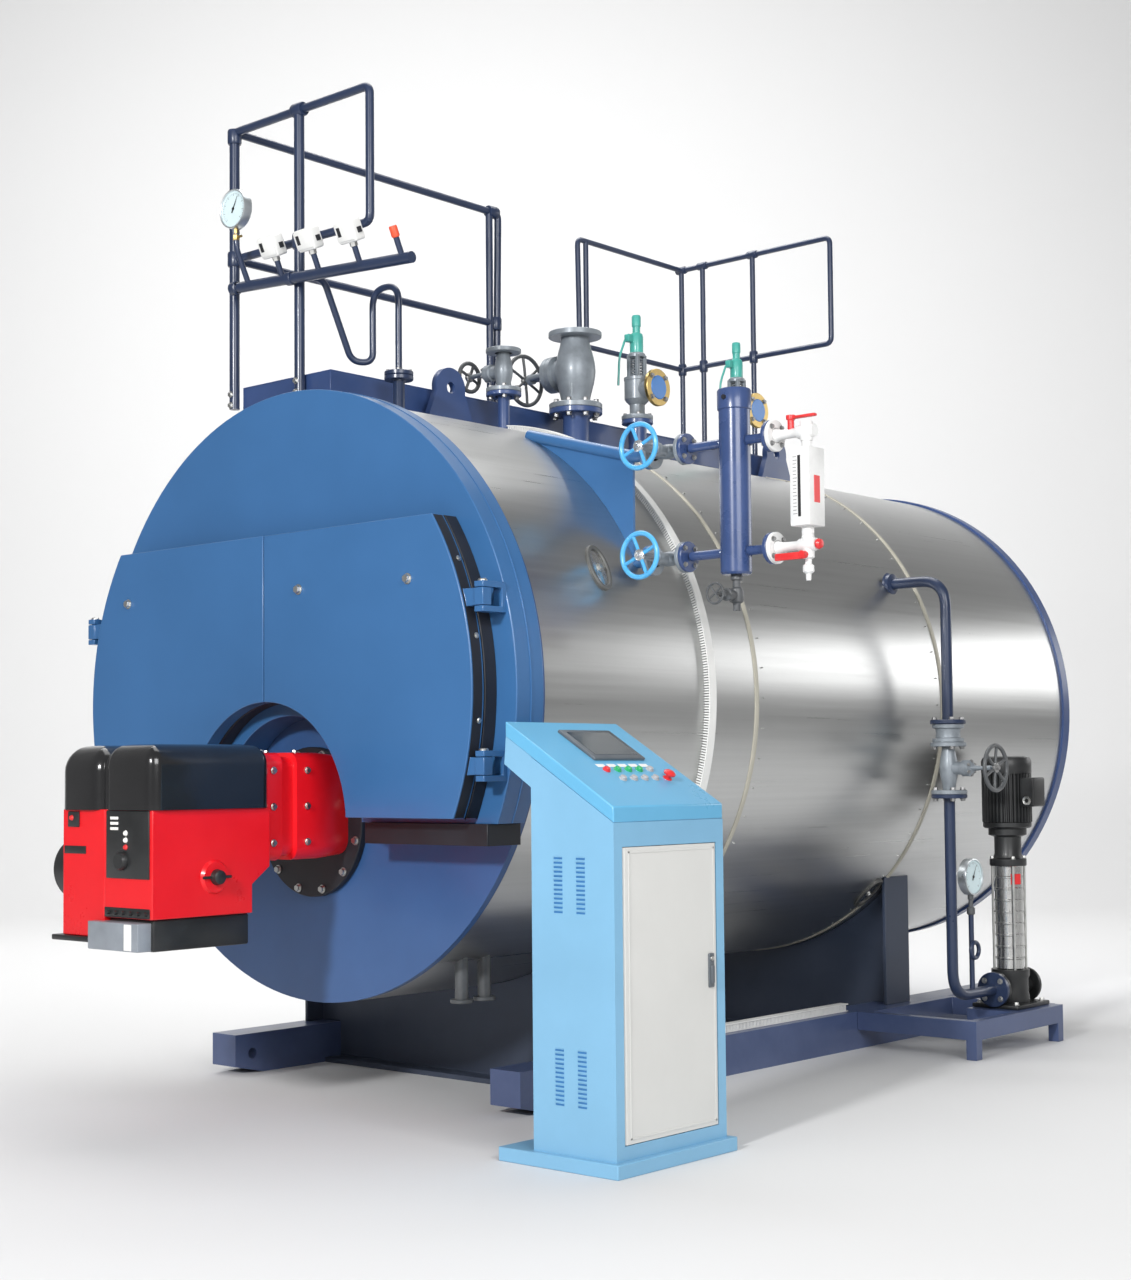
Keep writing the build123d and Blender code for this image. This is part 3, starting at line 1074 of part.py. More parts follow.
with BuildPart() as console_cabinet:
    with BuildSketch(cross_plane(console_y - CONSOLE_WIDTH / 2)):
        with BuildLine():
            Polyline((console_back_x, PLINTH_HEIGHT), (CONSOLE_FRONT_X, PLINTH_HEIGHT),
                     (CONSOLE_FRONT_X, cabinet_front_top), (console_back_x, cabinet_back_top), close=True)
        make_face()
    extrude(amount=-CONSOLE_WIDTH)
    with Locations((CONSOLE_FRONT_X - CONSOLE_DEPTH / 2 + CONSOLE_WALL / 2, (door_near + door_far) / 2,
                    (door_base + door_top) / 2)):
        Box(CONSOLE_DEPTH - CONSOLE_WALL, door_far - door_near, door_top - door_base, mode=Mode.SUBTRACT)
    for level in (door_base - CONSOLE_PIN_LENGTH / 2, door_top - CONSOLE_PIN_LENGTH / 2):
        with BuildSketch(Plane.XY.offset(level)):
            with Locations((console_pin_x, console_pin_y)):
                Circle(CONSOLE_PIN_RADIUS)
        extrude(amount=CONSOLE_PIN_LENGTH)
save(console_cabinet.part, "console_cabinet")

with BuildPart() as console_door:
    with BuildSketch(Plane.XY.offset(door_base + HINGE_END_PLAY)):
        with Locations((console_pin_x, console_pin_y)):
            Circle(CONSOLE_DOOR_THICK / 2)
        with Locations((console_pin_x, (console_pin_y + door_far - DOOR_GAP) / 2)):
            Rectangle(CONSOLE_DOOR_THICK, door_far - DOOR_GAP - console_pin_y)
        with Locations((console_pin_x, console_pin_y)):
            Circle(CONSOLE_PIN_RADIUS + PIN_CLEARANCE, mode=Mode.SUBTRACT)
    extrude(amount=door_top - door_base - 2 * HINGE_END_PLAY)
save(console_door.part, "console_door")

with BuildPart() as console_desk:
    with BuildSketch(cross_plane(console_y - CONSOLE_WIDTH / 2)):
        overhang_x = console_back_x - DESK_OVERHANG
        with BuildLine():
            Polyline((CONSOLE_FRONT_X, cabinet_front_top), (CONSOLE_FRONT_X, DESK_FRONT_HEIGHT),
                     (overhang_x, DESK_BACK_HEIGHT), (overhang_x, DESK_BACK_HEIGHT - DESK_RIM),
                     close=True)
        make_face()
    extrude(amount=-CONSOLE_WIDTH)
save(console_desk.part, "console_desk")
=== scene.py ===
import math

import bmesh
import bpy
import numpy as np
from mathutils import Matrix


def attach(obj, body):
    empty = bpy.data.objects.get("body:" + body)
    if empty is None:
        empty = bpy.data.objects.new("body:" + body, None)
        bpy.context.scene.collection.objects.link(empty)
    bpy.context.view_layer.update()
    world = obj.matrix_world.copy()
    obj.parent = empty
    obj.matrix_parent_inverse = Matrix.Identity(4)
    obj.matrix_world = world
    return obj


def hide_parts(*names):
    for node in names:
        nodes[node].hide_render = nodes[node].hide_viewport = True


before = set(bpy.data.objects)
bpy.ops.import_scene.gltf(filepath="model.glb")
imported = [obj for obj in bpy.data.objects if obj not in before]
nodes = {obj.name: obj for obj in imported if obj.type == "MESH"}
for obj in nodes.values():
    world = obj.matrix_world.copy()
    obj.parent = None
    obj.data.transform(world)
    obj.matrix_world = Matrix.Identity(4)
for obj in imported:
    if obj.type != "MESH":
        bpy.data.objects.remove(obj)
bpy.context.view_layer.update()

# Skids: two box beams of welded plate under the boiler, with raised toes and a tow hole.
# They are painted navy, and dusty towards the floor.
DUST_COLOUR = (0.42, 0.40, 0.37, 1)
DUST_TOP = 0.9


def finish(name, colour, rough=0.4, metal=0.0, drift=0.12, cloud=3.0, stretch=(1, 1, 1), grain=240.0,
           relief=0.08, dust=0.0, coat=0.0, waves=0.0, sway=0.07):
    """Surface finish on Object coordinates: colour and roughness drift together with soft cloud noise, fine
    noise lifts the surface, slow noise bulges it, and dust falls off linearly with height."""
    made = bpy.data.materials.new(name)
    made.use_nodes = True
    tree = made.node_tree

    def node(kind, **values):
        """New shader node: a lower-case key is a setting, any other an input, wired or set to a value."""
        new = tree.nodes.new("ShaderNode" + kind)
        for key, value in values.items():
            if key.islower():
                setattr(new, key, value)
            elif isinstance(value, bpy.types.NodeSocket):
                tree.links.new(value, new.inputs[key.replace("_", " ")])
            else:
                new.inputs[key.replace("_", " ")].default_value = value
        return new

    place = node("TexCoord").outputs["Object"]
    turned = node("Mapping", Vector=place, Scale=stretch).outputs["Vector"]
    clouds = node("TexNoise", Vector=turned, Scale=cloud, Detail=6.0, Roughness=0.62).outputs["Fac"]
    ramp = node("ValToRGB", Fac=clouds)
    for stop, position, shade in zip(ramp.color_ramp.elements, (0.3, 0.72), (1 - drift, 1 + drift)):
        stop.position = position
        stop.color = [min(1, c * shade) for c in colour] + [1]
    paint = ramp.outputs["Color"]
    if dust:
        height = node("SeparateXYZ", Vector=place).outputs["Z"]
        low = node("MapRange", Value=height, From_Min=0.0, From_Max=DUST_TOP, To_Min=dust, To_Max=0.0)
        patchy = node("Math", operation="MULTIPLY")
        tree.links.new(low.outputs["Result"], patchy.inputs[0])
        tree.links.new(clouds, patchy.inputs[1])
        dusty = node("Mix", data_type="RGBA", Factor=patchy.outputs["Value"], A=paint, B=DUST_COLOUR)
        paint = dusty.outputs["Result"]
    gloss = node("MapRange", Value=clouds, From_Min=0.3, From_Max=0.7, To_Min=max(0.03, rough - sway),
                 To_Max=rough + sway)
    fine = node("TexNoise", Vector=turned, Scale=grain, Detail=2.0).outputs["Fac"]
    lift = node("Bump", Strength=relief, Distance=0.001, Height=fine)
    if waves:
        slow = node("TexNoise", Vector=place, Scale=2.2, Detail=1.0).outputs["Fac"]
        bulge = node("Bump", Strength=waves, Distance=0.05, Height=slow)
        tree.links.new(bulge.outputs["Normal"], lift.inputs["Normal"])
    shader = tree.nodes["Principled BSDF"].inputs
    tree.links.new(paint, shader["Base Color"])
    tree.links.new(gloss.outputs["Result"], shader["Roughness"])
    tree.links.new(lift.outputs["Normal"], shader["Normal"])
    shader["Metallic"].default_value = metal
    shader["Coat Weight"].default_value = coat
    shader["Coat Roughness"].default_value = 0.12
    return made


def dress(material, *names, edge=0.0):
    """Give carried-over plates their finish, with merged points, smooth curved faces and a small worn
    edge."""
    for name in names:
        plate = nodes[name]
        plate.data.materials.clear()
        plate.data.materials.append(material)
        soften = plate.modifiers.new("smooth_faces", "NODES")
        soften.node_group = smooth_faces
        if edge:
            worn = plate.modifiers.new("worn_edge", "BEVEL")
            worn.width = edge
            worn.segments = 2
            worn.limit_method = "ANGLE"
            worn.angle_limit = math.radians(40)


smooth_faces = bpy.data.node_groups.new("smooth_faces", "GeometryNodeTree")
for way in ("INPUT", "OUTPUT"):
    smooth_faces.interface.new_socket("Geometry", in_out=way, socket_type="NodeSocketGeometry")
plate_in, plate_out, joined, faces_smooth, edges_sharp, corner, sharp = [
    smooth_faces.nodes.new(kind) for kind in (
        "NodeGroupInput", "NodeGroupOutput", "GeometryNodeMergeByDistance", "GeometryNodeSetShadeSmooth",
        "GeometryNodeSetShadeSmooth", "GeometryNodeInputMeshEdgeAngle", "FunctionNodeCompare")]
joined.inputs["Distance"].default_value = 0.00002
edges_sharp.domain = "EDGE"
edges_sharp.inputs["Shade Smooth"].default_value = False
sharp.inputs["B"].default_value = math.radians(32)
for source, target in ((plate_in.outputs[0], joined.inputs["Geometry"]),
                       (joined.outputs["Geometry"], faces_smooth.inputs["Geometry"]),
                       (faces_smooth.outputs["Geometry"], edges_sharp.inputs["Geometry"]),
                       (corner.outputs["Unsigned Angle"], sharp.inputs["A"]),
                       (sharp.outputs["Result"], edges_sharp.inputs["Selection"]),
                       (edges_sharp.outputs["Geometry"], plate_out.inputs[0])):
    smooth_faces.links.new(source, target)

navy = finish("navy_paint", (0.036, 0.070, 0.19), rough=0.36, dust=0.2, coat=0.15)
dress(navy, "skids")

# Saddles: plate webs with flanged ends that carry the shell on the skids.
# Painted a greyer blue, dusty like the skids.
saddle_paint = finish("saddle_paint", (0.026, 0.040, 0.075), rough=0.45, dust=0.1)
dress(saddle_paint, "front_saddle", "rear_saddle", edge=0.003)

# Shell jacket: thin brushed stainless sheet over the lagging, rolled round the shell.
# It is in three lengths, and the middle one slips under its neighbours at the laps.
AXIS = np.array([0.0, 0.0, 1.52])
JACKET = 1.15
ORIGIN = np.zeros(3)
ALONG_X, ALONG_Y, ALONG_Z = np.eye(3)


def grid(points):
    """Rows of points on closed rings become quads between each ring and the next."""
    rows, sides = points.shape[:2]
    index = np.arange(rows * sides).reshape(rows, sides)
    beside = np.roll(index, -1, axis=1)
    quads = np.stack([index[:-1], beside[:-1], beside[1:], index[1:]], axis=-1).reshape(-1, 4)
    return points.reshape(-1, 3), quads


def across(along):
    """The axis at unit length, with two directions square to it and to each other, from cross products."""
    along = np.asarray(along, float) / np.linalg.norm(along)
    first = np.cross(along, ALONG_X if abs(along[0]) < 0.8 else ALONG_Z)
    first /= np.linalg.norm(first)
    return along, first, np.cross(along, first)


def lathe(profile, base=ORIGIN, along=ALONG_Z, sides=48):
    """Turned surface: each (radius, height) of the profile is carried round the axis that leaves base."""
    radius, height = np.asarray(profile, float).T
    along, first, second = across(along)
    angle = np.linspace(0, 2 * np.pi, sides, endpoint=False)
    ring = np.cos(angle)[:, None] * first + np.sin(angle)[:, None] * second
    return grid(np.asarray(base, float) + height[:, None, None] * along + radius[:, None, None] * ring)


def copies(part, shifts):
    """The same small part moved by every shift, with its faces numbered on from copy to copy."""
    points, quads = part
    shifts = np.asarray(shifts, float)
    moved = (points[None] + shifts[:, None]).reshape(-1, 3)
    faces = (quads[None] + len(points) * np.arange(len(shifts))[:, None, None]).reshape(-1, quads.shape[1])
    return moved, faces


def piece(name, parts, material, body="boiler", stands_for=(), sharp=35):
    """One object at the origin from several surfaces, with seams and poles closed and faces turned
    outwards."""
    points = np.concatenate([p for p, q in parts])
    starts = np.cumsum([0] + [len(p) for p, q in parts[:-1]])
    faces = [face for (p, q), start in zip(parts, starts) for face in (q + start).tolist()]
    mesh = bpy.data.meshes.new(name)
    mesh.from_pydata(points.tolist(), [], faces)
    work = bmesh.new()
    work.from_mesh(mesh)
    bmesh.ops.remove_doubles(work, verts=work.verts, dist=0.00001)
    bmesh.ops.recalc_face_normals(work, faces=work.faces)
    work.to_mesh(mesh)
    work.free()
    mesh.shade_smooth()
    mesh.set_sharp_from_angle(angle=math.radians(sharp))
    mesh.materials.append(material)
    made = bpy.data.objects.new(name, mesh)
    bpy.context.scene.collection.objects.link(made)
    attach(made, body)
    if stands_for:
        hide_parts(*stands_for)
    return made


stainless = finish("brushed_stainless", (0.56, 0.565, 0.56), rough=0.30, metal=1.0, drift=0.05, cloud=2.0,
                   stretch=(26, 0.30, 26), grain=30.0, relief=0.02, waves=0.02, sway=0.03)
LAGGING, LAP = 0.1, 0.0012
SHEETS = ((-0.753, 0.49, JACKET), (0.49, 1.92, JACKET - LAP), (1.92, 3.08, JACKET))
jacket_parts = [lathe([(JACKET - LAGGING, start), (skin, start), (skin, end), (JACKET - LAGGING, end)],
                      AXIS, ALONG_Y, 288) for start, end, skin in SHEETS]
piece("jacket_sheets", jacket_parts, stainless, stands_for=["shell_jacket"])

# Straps: two cream-coloured steel bands over the jacket's laps, drawn tight round the shell.
# A row of small bright screws beside each one holds the lap.
cream = finish("cream_strap", (0.46, 0.44, 0.37), rough=0.45, drift=0.1, cloud=8.0)
screw_steel = finish("bright_screws", (0.66, 0.66, 0.65), rough=0.3, metal=1.0, cloud=20.0)
STRAP_HALF, STRAP_LIFT, STRAP_SINK = 0.013, 0.004, 0.004


def hoop(y):
    """A flat band round the shell: a turned section whose two upper edges are cut off at a slope."""
    shoulder, top = JACKET + STRAP_LIFT * 0.6, JACKET + STRAP_LIFT
    near, far = y - STRAP_HALF, y + STRAP_HALF
    return lathe([(JACKET - STRAP_SINK, near), (shoulder, near), (top, near + STRAP_LIFT),
                  (top, far - STRAP_LIFT), (shoulder, far), (JACKET - STRAP_SINK, far)], AXIS, ALONG_Y, 240)


def on_shell(angle, y, lift):
    """Points on the shell at these angles from +X: cosine and sine times its radius, standing off by lift."""
    radius = JACKET + lift
    return np.stack([radius * np.cos(angle), np.full_like(angle, y), AXIS[2] + radius * np.sin(angle)],
                    axis=-1)


piece("jacket_straps", [hoop(0.50), hoop(1.93)], cream)
seam_screw = lathe([(0, 0.004), (0.004, 0.0035), (0.0058, 0), (0, -0.002)], sides=8)
seam_angles = np.radians(np.arange(-84, 264, 6.0))
lap_screws = [copies(seam_screw, on_shell(seam_angles, y, 0.001)) for y in (0.545, 1.885)]
piece("lap_screws", lap_screws, screw_steel)

# Cable trunking: slotted white plastic channel strapped round the shell and along the right skid.
# Its walls are combs of short fingers, and a lid closes it.
white_plastic = finish("white_plastic", (0.80, 0.80, 0.78), rough=0.5, drift=0.05, cloud=9.0)
DUCT_Y, DUCT_HALF, DUCT_WALL, DUCT_DEPTH = 0.18, 0.020, 0.003, 0.022
RUN_START, RUN_END, RUN_X, SKID_TOP = 0.34, 1.61, 0.81, 0.164


def corners(steps):
    """Angles round a rectangle with rounded corners, with the sign of each corner in its two directions."""
    turn = np.concatenate([q * np.pi / 2 + np.linspace(0, np.pi / 2, steps + 1) for q in range(4)])
    return turn, np.repeat([1, -1, -1, 1], steps + 1), np.repeat([1, 1, -1, -1], steps + 1)


def capped(rings):
    """Close a stack of rings with a middle point at each end."""
    first = np.broadcast_to(rings[:1].mean(axis=1, keepdims=True), rings[:1].shape)
    last = np.broadcast_to(rings[-1:].mean(axis=1, keepdims=True), rings[-1:].shape)
    return grid(np.concatenate([first, rings, last]))


def block(low, high, edge=0.002, steps=2):
    """Rounded block: an eighth of a small sphere at each corner, joined by flat faces."""
    low, high = np.asarray(low, float), np.asarray(high, float)
    middle, half = (low + high) / 2, (high - low) / 2
    edge = min(edge, half.min() * 0.98)
    turn, east, north = corners(steps)
    rise = np.concatenate([np.linspace(-np.pi / 2, 0, steps + 1), np.linspace(0, np.pi / 2, steps + 1)])
    up = np.repeat([-1, 1], steps + 1)
    x = east * (half[0] - edge) + edge * np.cos(rise)[:, None] * np.cos(turn)
    y = north * (half[1] - edge) + edge * np.cos(rise)[:, None] * np.sin(turn)
    z = np.broadcast_to((up * (half[2] - edge) + edge * np.sin(rise))[:, None], x.shape)
    return capped(middle + np.stack([x, y, z], axis=-1))


def rib(angle, y0, y1, r0, r1, width):
    """Small straight-sided tooth standing on the shell, from radius r0 to r1, one for each angle."""
    angle = np.asarray(angle, float)[:, None]
    turn = width / 2 / JACKET * np.array([-1, 1, 1, -1, -1, 1, 1, -1])
    radius = np.array([r0, r0, r1, r1, r0, r0, r1, r1])
    y = np.repeat([y0, y1], 4)
    points = np.stack([radius * np.cos(angle + turn), np.broadcast_to(y, (len(angle), 8)),
                       AXIS[2] + radius * np.sin(angle + turn)], axis=-1).reshape(-1, 3)
    one = np.array([[0, 1, 2, 3], [7, 6, 5, 4], [0, 4, 5, 1], [1, 5, 6, 2], [2, 6, 7, 3], [3, 7, 4, 0]])
    return points, (one[None] + 8 * np.arange(len(angle))[:, None, None]).reshape(-1, 4)


def swept(section, centre, first, second, start, end, steps):
    """Closed section of (radius, height) points carried round an axis from one angle to another, in
    degrees from the first direction towards the second, with closed ends."""
    radius, height = np.asarray(section, float).T
    angle = np.radians(np.linspace(start, end, steps))[:, None]
    way = np.cos(angle) * first + np.sin(angle) * second
    return capped(centre + radius[:, None] * way[:, None] + height[:, None] * np.cross(first, second))


duct_angles = np.radians(np.linspace(-45, 83, 256))
duct_parts = [rib(duct_angles, y, y + DUCT_WALL, JACKET - 0.002, JACKET + DUCT_DEPTH, 0.0055)
              for y in (DUCT_Y - DUCT_HALF, DUCT_Y + DUCT_HALF - DUCT_WALL)]
lid_low, lid_high = JACKET + DUCT_DEPTH, JACKET + DUCT_DEPTH + 0.004
lid = [(lid_low, -DUCT_Y - 0.021), (lid_high, -DUCT_Y - 0.021), (lid_high, -DUCT_Y + 0.021),
       (lid_low, -DUCT_Y + 0.021)]
duct_parts.append(swept(lid, AXIS, ALONG_X, ALONG_Z, -45.5, 83.5, 160))
finger = block((-0.0015, -0.003, 0), (0.0015, 0.003, 0.030), 0.0008, 1)
finger_x, finger_y = np.meshgrid([RUN_X - 0.018, RUN_X + 0.018], np.arange(RUN_START + 0.01, 1.60, 0.010))
finger_places = np.stack([finger_x, finger_y, np.full_like(finger_x, SKID_TOP + 0.0005)], axis=-1)
duct_parts += [copies(finger, finger_places.reshape(-1, 3)),
               block((RUN_X - 0.022, RUN_START, 0.1935), (RUN_X + 0.022, RUN_END, 0.198), 0.001, 1),
               block((RUN_X - 0.020, RUN_START, 0.1642), (RUN_X + 0.020, RUN_END, 0.167), 0.001, 1)]
piece("cable_trunking", duct_parts, white_plastic)

# Smokebox casing, front plate and rear cover: rolled and welded plate, blue in front and navy behind.
# The casing stands out from the shell all round, and the door frame and sills are nearly black.
blue = finish("boiler_blue", (0.036, 0.132, 0.315), rough=0.36, drift=0.07, cloud=1.6, coat=0.25, waves=0.01,
              dust=0.1)
plate_blue = finish("front_plate_blue", (0.036, 0.100, 0.26), rough=0.38, drift=0.1, cloud=1.8, coat=0.2,
                    dust=0.08)
# Near-black paint for the door frame, sills and small dark parts; on the arch ring, the bores and the doors'
# edge bands it is painted shade.
dark = finish("near_black_and_painted_shade", (0.012, 0.013, 0.018), rough=0.5, drift=0.3, cloud=5.0)
dress(blue, "smokebox_casing", edge=0.003)
dress(navy, "rear_cover", edge=0.003)
casing_seam = [(1.170, 0.842), (1.1745, 0.843), (1.1745, 0.849), (1.170, 0.850)]
piece("casing_band", [swept(casing_seam, AXIS, ALONG_X, ALONG_Z, -23.0, 203.0, 200)], blue)
dress(plate_blue, "front_plate", edge=0.002)
# The burner arch ring is painted near-black: painted shade for the shadowed inner wall of the arch.
dress(dark, "smokebox_door_frame", "burner_arch_ring", "smokebox_sills", edge=0.003)

# Tube ends behind the doors: rows of steel tubes expanded into the front plate, with near-black discs in the
# bores as painted shade.
# They show only when the smokebox doors stand open.
soot = finish("sooty_steel", (0.10, 0.095, 0.09), rough=0.6, metal=0.6, drift=0.35, cloud=12.0)
TUBE_PITCH, TUBE_ROW, TUBE_PLATE, BURNER_AXIS = 0.084, 0.073, -0.7832, 1.055
columns, rows = np.meshgrid(np.arange(-11, 12), np.arange(0, 8))
tube_x = (columns + 0.5 * (rows % 2)) * TUBE_PITCH
tube_z = 1.60 + rows * TUBE_ROW
inside_shell = np.hypot(tube_x, tube_z - AXIS[2]) < 0.93
clear_of_burner = np.hypot(tube_x, tube_z - BURNER_AXIS) > 0.56
kept = inside_shell & clear_of_burner & (tube_z < 2.05)
tube_places = np.stack([tube_x[kept], np.full(kept.sum(), TUBE_PLATE), tube_z[kept]], axis=-1)
tube_end = lathe([(0.020, -0.004), (0.0215, 0.006), (0.0255, 0.006), (0.0265, 0.001), (0.0265, -0.004)],
                 along=-ALONG_Y, sides=20)
# Near-black disc in each tube end: painted shade for the inside of the tube.
tube_bore_shade = lathe([(0, -0.0003), (0.0205, -0.0003)], along=-ALONG_Y, sides=20)
piece("tube_ends", [copies(tube_end, tube_places)], soot)
piece("tube_bores", [copies(tube_bore_shade, tube_places - [0, 0.0004, 0])], dark)

# Smokebox doors: two thick arched steel leaves with hinge straps, hung on four pins.
# Bright nuts stand on the faces, clips stand on a near-black edge band that is painted shade, and small
# screws hold the frame's seal.
zinc = finish("zinc_plate", (0.62, 0.62, 0.60), rough=0.32, metal=1.0, drift=0.12, cloud=25.0)
DOOR_FACE, DOOR_EDGE, SHADE_BAND_FRONT, SHADE_BAND_BACK = -1.044, 1.08, -1.037, -0.993
PIN_X, PIN_Y, PIN_HEIGHTS = 1.105, -1.014, (1.309, 1.882)
dress(blue, "left_smokebox_door", "right_smokebox_door", "door_hinge_brackets", edge=0.003)


def hexes(places, along, across_flats, height):
    """Hexagon nuts on round washers at every place, along one axis: the flats over the cosine of 30 degrees
    give the corners."""
    corner = across_flats / 2 * 1.1547
    nut = lathe([(0, height), (corner * 0.92, height), (corner, height * 0.86), (corner, 0), (0, 0)],
                along=along, sides=6)
    washer, thick = corner * 1.3, height * 0.22
    ring = lathe([(0, thick), (washer, thick), (washer, 0), (0, 0)], along=along, sides=20)
    return [copies(nut, places), copies(ring, places)]


for side, leaf, nuts in ((-1, "left", [(-0.837, 1.927)]), (1, "right", [(0.200, 1.914), (0.774, 1.912)])):
    leaf_body = f"{leaf}_smokebox_door_body"
    piece(f"{leaf}_door_nuts", hexes([(x, DOOR_FACE, z) for x, z in nuts], -ALONG_Y, 0.026, 0.016), zinc,
          leaf_body)
    pin_caps = [lathe([(0, 0.008), (0.014, 0.008), (0.017, 0.004), (0.017, 0), (0, 0)],
                      (side * PIN_X, PIN_Y, height), sides=20) for height in PIN_HEIGHTS]
    piece(f"{leaf}_hinge_caps", pin_caps, zinc)
    # Near-black band over the leaf's edge face: painted shade for the shaded edge.
    edge_low, edge_high = sorted((-side * SHADE_BAND_FRONT, -side * SHADE_BAND_BACK))
    edge_shade_band = [(DOOR_EDGE - 0.004, edge_low), (DOOR_EDGE + 0.0012, edge_low), (DOOR_EDGE + 0.0012, edge_high),
               (DOOR_EDGE - 0.004, edge_high)]
    piece(f"{leaf}_door_edge_shade", [swept(edge_shade_band, AXIS, side * ALONG_X, ALONG_Z, -23.9, 34.2, 60)], dark,
          leaf_body)
    clip_parts, clamp_parts = [], []
    for angle in np.radians([-5.8, 9.6, 24.6]):
        way = np.array([side * math.cos(angle), 0, math.sin(angle)])
        clip_parts += hexes([AXIS + way * (DOOR_EDGE + 0.001) + ALONG_Y * (SHADE_BAND_BACK - 0.012)], way, 0.014,
                            0.005)
    for height in (1.41, 1.70, 1.97):
        reach = math.sqrt(DOOR_EDGE ** 2 - (height - AXIS[2]) ** 2) - 0.030
        clamp_parts += hexes([(side * reach, -0.9790, height)], -ALONG_Y, 0.012, 0.004)
    piece(f"{leaf}_door_clips", clip_parts, zinc, leaf_body)
    piece(f"{leaf}_frame_screws", clamp_parts, zinc)

# Walkway on the crown: channel frame, thin brackets and a chequered deck plate, welded together.
# The deck's raised lozenges are pressed into the sheet.
DECK_TOP, TREAD_PITCH = 2.8311, 0.034
dress(navy, "walkway_frame", "walkway_deck", "walkway_brackets", edge=0.002)
tread_x, tread_y = np.meshgrid(np.arange(-0.57, -0.07, TREAD_PITCH), np.arange(-0.63, 2.31, TREAD_PITCH))
lozenge = np.array([[-0.011, 0, 0], [0, -0.003, 0], [0.011, 0, 0], [0, 0.003, 0], [0, 0, 0.0014]])
lozenge_faces = np.array([[0, 1, 4], [1, 2, 4], [2, 3, 4], [3, 0, 4]])
spots = np.stack([tread_x, tread_y, np.full_like(tread_x, DECK_TOP)], axis=-1)
odd = np.indices(tread_x.shape).sum(axis=0) % 2 == 1
piece("deck_treads", [copies((lozenge, lozenge_faces), spots[odd]),
                      copies((lozenge[:, [1, 0, 2]], lozenge_faces), spots[~odd])], navy,
      sharp=20)

# Lifting lugs: two thick plates welded along the crown, broad at the foot and round at the head.
# Each has one burned hole for the shackle.
LUG_HOLE_HEIGHT, LUG_FOOT_HEIGHT = 2.833, 2.64
LUG_HOLE, LUG_HEAD, LUG_FOOT, LUG_HALF = 0.024, 0.084, 0.155, 0.015


def lug(y):
    """Plate round one hole: head arc, straight sides and foot make the outline, and each of its points is
    joined to the point of the hole in the same direction."""
    centre = np.array([y, LUG_HOLE_HEIGHT])
    head = np.radians(np.linspace(-12, 192, 35))
    arc = centre + LUG_HEAD * np.stack([np.cos(head), np.sin(head)], axis=-1)
    feet = np.array([(y - LUG_FOOT, LUG_FOOT_HEIGHT), (y + LUG_FOOT, LUG_FOOT_HEIGHT)])
    step = np.linspace(0, 1, 9)[1:, None]
    left = arc[-1] + step * (feet[0] - arc[-1])
    foot = feet[0] + step * (feet[1] - feet[0])
    right = feet[1] + step[:-1] * (arc[0] - feet[1])
    outline = np.concatenate([arc, left, foot, right])
    way = outline - centre
    hole = centre + LUG_HOLE * way / np.linalg.norm(way, axis=1, keepdims=True)
    rings = [np.insert(ring, 0, x, axis=1) for ring, x in (
        (outline, LUG_HALF), (hole, LUG_HALF), (hole, -LUG_HALF), (outline, -LUG_HALF), (outline, LUG_HALF))]
    return grid(np.stack(rings))


piece("lifting_plates", [lug(-0.05), lug(2.295)], navy, stands_for=["lifting_lugs"])

# Railings: bent navy pipe, sleeved where the rails cross the posts.
# The feet are bolted to the side of the walkway frame, two bolts to each post.
navy_rail = finish("navy_rail_paint", (0.019, 0.033, 0.078), rough=0.34, coat=0.2, cloud=6.0)
RAIL, POST, REAR_RAIL, RAIL_BEND = 0.017, 0.021, 0.0135, 0.034
LEFT, FRONT, REAR = -0.6203, -0.6763, 2.3503
TOP, MIDDLE, FOOT = 3.9, 3.365, 2.74
FRONT_POST, REAR_POSTS = -0.215, (LEFT, -0.48, -0.158)
NO_DIRECTION = np.array([0.53, 0.31, 0.79])


def route(points, bend, steps):
    """Path of straight runs whose corners are eased by a short parabola between the two runs."""
    points = np.asarray(points, float)
    if len(points) < 3:
        return points
    here, back, ahead = points[1:-1], points[:-2] - points[1:-1], points[2:] - points[1:-1]
    back_length = np.linalg.norm(back, axis=1, keepdims=True)
    ahead_length = np.linalg.norm(ahead, axis=1, keepdims=True)
    reach = np.minimum(bend, 0.48 * np.minimum(back_length, ahead_length))
    s = np.linspace(0, 1, steps)[None, :, None]
    eased = (here[:, None] + (reach * back / back_length)[:, None] * (1 - s) ** 2
             + (reach * ahead / ahead_length)[:, None] * s ** 2)
    return np.concatenate([points[:1], eased.reshape(-1, 3), points[-1:]])


def bar(points, radius, bend=0.05, sides=16, steps=7):
    """Round bar: a circle carried along a path, set square to it, with both ends closed. Its first point
    is turned towards a direction that no bar runs in."""
    path = route(points, bend, steps)
    way = np.gradient(path, axis=0)
    way /= np.linalg.norm(way, axis=1, keepdims=True)
    first = np.cross(way, NO_DIRECTION)
    first /= np.linalg.norm(first, axis=1, keepdims=True)
    second = np.cross(way, first)
    angle = np.linspace(0, 2 * np.pi, sides, endpoint=False)[None, :, None]
    return capped(path[:, None] + radius * (np.cos(angle) * first[:, None] + np.sin(angle) * second[:, None]))


def sleeve(place, along, radius=0.029):
    """Short thick collar where one pipe crosses another: a turned tube with sloped ends."""
    end = radius - 0.0025
    return lathe([(0, -0.030), (end, -0.030), (radius, -0.024), (radius, 0.024), (end, 0.030), (0, 0.030)],
                 place, along, 24)


